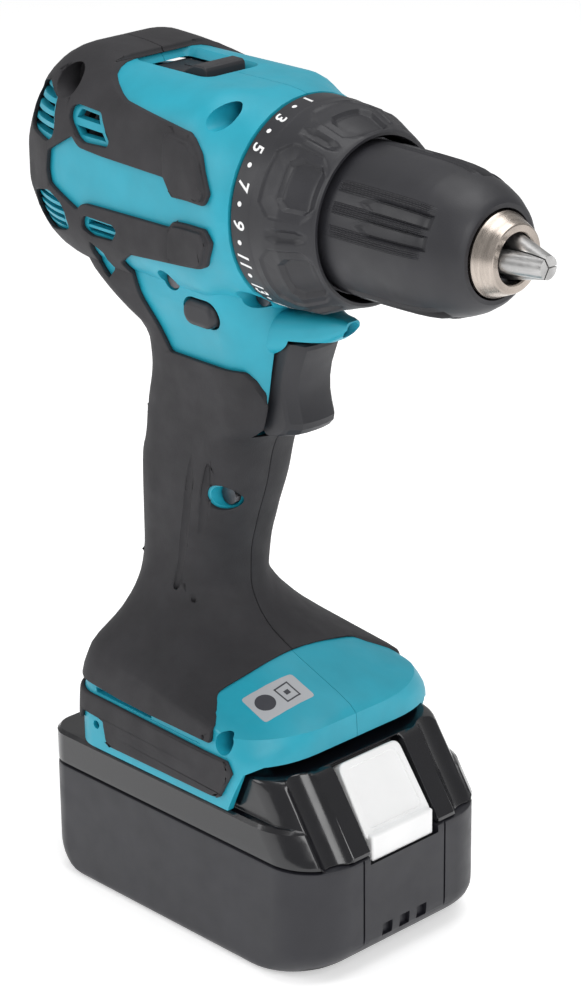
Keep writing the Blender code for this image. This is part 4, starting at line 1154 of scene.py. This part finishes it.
def make_slider():
    slide = box("speed_selector", (-38.5, -8.6, 244.0), (-3.0, 8.6, 245.6))
    knob = plate("knob", (
        (-26.0, 245.2), (-20.4, 248.7), (-17.6, 250.1), (-13.6, 250.1), (-12.9, 249.2), (-12.5, 245.2),
    ), "XZ", -7.5, 7.5)
    round_edges(knob, 0.9, 3, 30, clamp=True)
    combine(slide, knob, "UNION")
    round_edges(slide, 0.2, 2, 50)
    finish(slide, CHARCOAL, "speed_switch", ["speed_slider"], sharp=30)
    marks = []
    for label, y in (("2", -3.2), ("1", 3.2)):
        mesh = text_mesh(label, 5.2, 0.12)
        mesh.transform(Matrix.Translation((-31.5, y, 245.66)) @ Matrix.Rotation(math.radians(-90), 4, "Z"))
        marks.append(new_piece("gear_mark", mesh))
    finish(join("gear_marks", marks), RING_PLASTIC, "speed_switch", weighted=False)


def make_shroud():
    """The duct round the motor fan, which keeps the vents dark."""
    shroud = turned("fan_shroud", ((-62.0, 21.8), (-62.0, 22.8), (-50.0, 22.8), (-50.0, 24.4), (-48.4, 24.4),
                                   (-48.4, 21.8)))
    finish(shroud, CHARCOAL, "body")


def make_lamp():
    lamp = rod("lamp_lens", (24.0, 0, LAMP_Z), 8.0, 2.2)
    round_edges(lamp, 0.5, 3, 40, clamp=True)
    finish(lamp, LENS, "body", ["work_lamp"])


# ---------------------------------------------------------------- label on the foot
LABEL_OUTLINE = ((15.2, -24.6), (17.6, -6.9), (27.6, -7.0), (26.6, -25.8))
LABEL_DISC = (21.0, -20.4, 3.1)


def skin_sheet(name, outline, inner, outer):
    """A thin sheet that follows the foot's upper surface."""
    sheet = plate(name, outline, "XY", 66, 90)
    keep_within(sheet, outer)
    keep_outside(sheet, inner)
    return clean(sheet, 0.004)


def make_sticker():
    """A plain grey label with a generic mark: a disc beside a square frame."""
    label = skin_sheet("foot_label", soften(LABEL_OUTLINE, 1.2), 0.0, 0.14)
    finish(label, LABEL, "body", weighted=False)
    x, y, radius = LABEL_DISC
    turns = [step / 16 * math.pi for step in range(32)]
    disc = [(x + radius * math.cos(turn), y + radius * math.sin(turn)) for turn in turns]
    marks = [skin_sheet("disc", disc, 0.1, 0.18)]
    for low_x, high_x, low_y, high_y in (
        (19.0, 25.0, -10.6, -10.1), (19.0, 25.0, -15.4, -14.9), (19.0, 19.5, -15.4, -10.1),
        (24.5, 25.0, -15.4, -10.1), (21.2, 22.8, -13.6, -11.9),
    ):
        bar = ((low_x, low_y), (high_x, low_y), (high_x, high_y), (low_x, high_y))
        marks.append(skin_sheet("bar", bar, 0.1, 0.18))
    finish(join("foot_label_marks", marks), LABEL_INK, "body", weighted=False)


# ---------------------------------------------------------------- battery
BUTTON_MIDDLE = (48.2, 47.8)
HALF = BATTERY_LENGTH / 2
FRONT_FOOT = ((0, 13.0), (1.0, 9.4), (2.0, 7.0), (4.5, 3.4), (7.0, 1.2), (9.0, 0.25), (11.0, 0.0), (60, 0.0))
FRONT_SLOPE = 0.69
BATTERY_CORNER_STEPS = 12
CHARGE_BUTTON = (20, 28)
FRONT_LINE_Y = 16.5
SLOPE_LEAN = math.atan2(BATTERY_TOP_Z - BATTERY_SEAM_Z - GAP, HALF - 41.0)


def fillet(z, radius):
    """How far a rounded bottom edge is drawn in at height z."""
    if z >= radius:
        return 0.0
    return radius - math.sqrt(radius ** 2 - (radius - z) ** 2)


def battery_plan(rear_in, front_in, side_in, corner_in):
    """The battery's level outline, drawn in at its rear, front, sides and corners."""
    corner = max(BATTERY_FRONT_CORNER - corner_in, 3.0)
    return grip_outline(
        -HALF + rear_in, HALF - front_in, BATTERY_HALF_WIDTH - side_in,
        max(BATTERY_REAR_CORNER - corner_in, 2.0), corner, corner, BATTERY_CORNER_STEPS,
    )


def button_space(name, extra):
    """The slanted space of the release button, grown by a clearance."""
    x, z = BUTTON_MIDDLE
    space = box(name, (x - 13.4 - extra, -13.3 - extra, z - 4.6), (x + 16.5, 13.3 + extra, z + 20))
    return turn_about(space, (x, 0, z), SLOPE_LEAN, "Y")


def make_battery_lower():
    levels = []
    for z in (0, 0.3, 0.8, 1.6, 2.6, 4.0, 5.5, 7.0, 9.0, 11.0, 20.0, 34.8, 35.6, BATTERY_SEAM_Z):
        lip = fillet(BATTERY_SEAM_Z - z, 0.9) if z > 34 else 0.0
        inset = fillet(z, 3.0) + lip
        plan = battery_plan(fillet(z, 10.0) + lip, interpolate(FRONT_FOOT, z) + lip, inset, inset)
        levels.append((z, plan))
    case = level_loft("pack_base", levels)
    plan = grip_outline(-HALF + 3, HALF - 4, 34.8, 5.2, 13.0, 13.0)
    cuts = [plate("cell_space", plan, "XY", 3, 60), button_space("button_space", 0.5)]
    cuts.append(rod("charge_hole", (-HALF - 4, *CHARGE_BUTTON), 12, 3.3))
    for i in range(3):
        cuts.append(box("front_notch", (HALF - 1.6, -9.0 + 7.0 * i, 8.6), (HALF + 2, -5.0 + 7.0 * i, 12.6)))
    for side in (-1, 1):
        y = side * FRONT_LINE_Y
        cuts.append(box("front_line", (HALF - 0.5, y - 0.35, -1), (HALF + 2, y + 0.35, 40)))
    cut(case, cuts)
    clean(case)
    finish(case, BATTERY, "battery", ["battery_case_lower"], sharp=30)


def make_battery_upper():
    seam = BATTERY_SEAM_Z + GAP
    levels = []
    for z in (seam, seam + 0.5, seam + 1.6, 40.0, 44.0, 46.0, RAIL_TOP_Z):
        lip = fillet(z - seam, 0.9) + fillet(RAIL_TOP_Z - z, 1.0)
        run = max(0.0, (z - seam - 1.6) * FRONT_SLOPE)
        levels.append((z, battery_plan(lip, lip + run, lip, lip)))
    case = level_loft("pack_lid", levels)
    levels = []
    for z in (RAIL_TOP_Z - 1.4, 50.0, 53.0, 56.0, 57.6, 58.4, 59.0, BATTERY_TOP_Z):
        top = fillet(BATTERY_TOP_Z - z, 1.8)
        front = HALF - (z - seam - 1.6) * FRONT_SLOPE - top
        plan = grip_outline(BAY_REAR_X + 0.6 + top, front, 34.6 - top, 3.0, 13.0, 13.0, BATTERY_CORNER_STEPS)
        levels.append((z, plan))
    combine(case, level_loft("deck", levels), "UNION")
    x, z = BUTTON_MIDDLE
    cuts = [
        box("cell_space", (-38, -32, 30), (36, 32, BATTERY_TOP_Z - 3)),
        box("terminal_bay", (-70, -18, 50.4), (-8, 18, 70)),
        button_space("button_space", 0.5),
    ]
    for side in (-1, 1):
        channel = rod("channel", (x - 30, side * 27.0, z + 5.4), 60, 7.6, steps=64)
        cuts.append(turn_about(channel, (x, 0, z), SLOPE_LEAN, "Y"))
    cut(case, cuts)
    clean(case)
    round_edges(case, 0.5, 2, 55)
    finish(case, BATTERY_GLOSS, "battery", ["battery_case_upper"], sharp=30)


def make_release_button():
    """A white key that widens downwards, with a raised rim and a lip at its foot."""
    x, z = BUTTON_MIDDLE
    outline = soften(((x - 13.0, -12.2), (x + 8.6, -13.1), (x + 9.6, -12.6), (x + 9.6, 12.6),
                      (x + 8.6, 13.1), (x - 13.0, 12.2)), 2.8, 6)
    key = plate("pack_release_key", outline, "XY", z - 4.1, z + 0.9)
    round_edges(key, 0.9, 4, 40, clamp=True)
    dish = soften(((x - 11.2, -10.3), (x + 7.6, -11.1), (x + 7.6, 11.1), (x - 11.2, 10.3)), 2.2, 6)
    levels = []
    for level, inset in ((z + 0.35, 0.9), (z + 0.55, 0.4), (z + 1.4, 0.0)):
        middle_x = x - 1.8
        scale = 1 - inset / 10
        levels.append((level, [(middle_x + (u - middle_x) * scale, v * scale) for u, v in dish]))
    cut(key, [level_loft("dish", levels)])
    turn_about(key, (x, 0, z), SLOPE_LEAN, "Y")
    lip = box("lip", (HALF - 5.4, -12.4, 33.4), (HALF - 0.7, 12.4, 41.5))
    round_edges(lip, 0.8, 4, 40, clamp=True)
    combine(key, lip, "UNION")
    finish(key, WHITE, "battery_release", ["release_button"], sharp=30)


def make_charge_button():
    knob = rod("charge_check_key", (-HALF - 0.6, *CHARGE_BUTTON), 3.2, 3.0)
    round_edges(knob, 0.5, 3, 40, clamp=True)
    finish(knob, RUBBER, "charge_check", ["charge_button"])


# ---------------------------------------------------------------- camera, floor and light
CAMERA_TURN = (0.8057513, 0.3773589, -0.0105065)
CAMERA_PLACE = (0.5906831, -0.5728524, 0.4627678)
FOCAL_LENGTH = 113.36
SENSOR_HEIGHT = 36.0
FRAME_SHIFT = -0.024
LIGHT_TARGET = (0, 0, 0.13)
WORLD_LIGHT = 0.42
FLOOR_GLOW = 0.42
FLOOR_HALF_WIDTH = 4000
FLOOR_DROP = -0.0003


def make_camera():
    azimuth, height, roll = CAMERA_TURN
    back = Vector((
        math.sin(azimuth) * math.cos(height), -math.cos(azimuth) * math.cos(height), math.sin(height)
    ))
    right = Vector((0, 0, 1)).cross(back).normalized()
    up = back.cross(right)
    level = math.cos(roll) * right + math.sin(roll) * up
    rise = -math.sin(roll) * right + math.cos(roll) * up
    camera = bpy.data.objects.new("camera", bpy.data.cameras.new("camera"))
    turn = Matrix((level, rise, back)).transposed().to_4x4()
    turn.translation = Vector(CAMERA_PLACE)
    camera.matrix_world = turn
    camera.data.sensor_fit = "VERTICAL"
    camera.data.sensor_height = SENSOR_HEIGHT
    camera.data.lens = FOCAL_LENGTH
    camera.data.shift_y = FRAME_SHIFT
    camera.data.clip_start = 0.01
    bpy.context.scene.collection.objects.link(camera)
    bpy.context.scene.camera = camera


def area_light(name, place, size, power):
    light = bpy.data.lights.new(name, "AREA")
    light.shape = "RECTANGLE"
    light.size = size[0]
    light.size_y = size[1]
    light.energy = power
    lamp = bpy.data.objects.new(name, light)
    lamp.location = place
    aim = Vector(LIGHT_TARGET) - Vector(place)
    lamp.rotation_euler = aim.to_track_quat("-Z", "Y").to_euler()
    bpy.context.scene.collection.objects.link(lamp)


def make_studio():
    world = bpy.data.worlds.new("studio")
    bpy.context.scene.world = world
    world.use_nodes = True
    background = world.node_tree.nodes["Background"]
    background.inputs["Color"].default_value = (1.0, 1.0, 1.0, 1.0)
    background.inputs["Strength"].default_value = WORLD_LIGHT
    area_light("front_soft_box", (1.1, -0.5, 0.9), (0.7, 0.7), 7.0)
    area_light("left_soft_box", (-0.7, -1.1, 0.8), (0.8, 0.8), 6.0)
    area_light("top_soft_box", (0.1, 0.2, 1.3), (0.9, 0.9), 7.0)
    bm = bmesh.new()
    bmesh.ops.create_grid(bm, x_segments=2, y_segments=2, size=FLOOR_HALF_WIDTH)
    floor = from_bmesh("floor", bm)
    floor.data.transform(Matrix.Scale(MM, 4))
    floor.data.transform(Matrix.Translation((0, 0, FLOOR_DROP)))
    material = new_material("floor", (0.92, 0.92, 0.92), 0.75)
    shader_of(material).inputs["Emission Color"].default_value = (1, 1, 1, 1)
    shader_of(material).inputs["Emission Strength"].default_value = FLOOR_GLOW
    vary_roughness(material, noise(material, position(material), 0.05), 0.70, 0.80)
    floor.data.materials.append(material)
    bpy.context.scene.view_settings.view_transform = "Standard"


make_camera()
make_studio()
dress_frame_nodes()
make_housing()
make_rubber()
make_torque_ring()
make_sleeve()
make_chuck()
make_trigger()
make_lever()
make_slider()
make_lamp()
make_shroud()
make_sticker()
make_battery_lower()
make_battery_upper()
make_release_button()
make_charge_button()
discard(*SKINS.values())


def corners(bounds):
    return [list(corner) for corner in bounds]
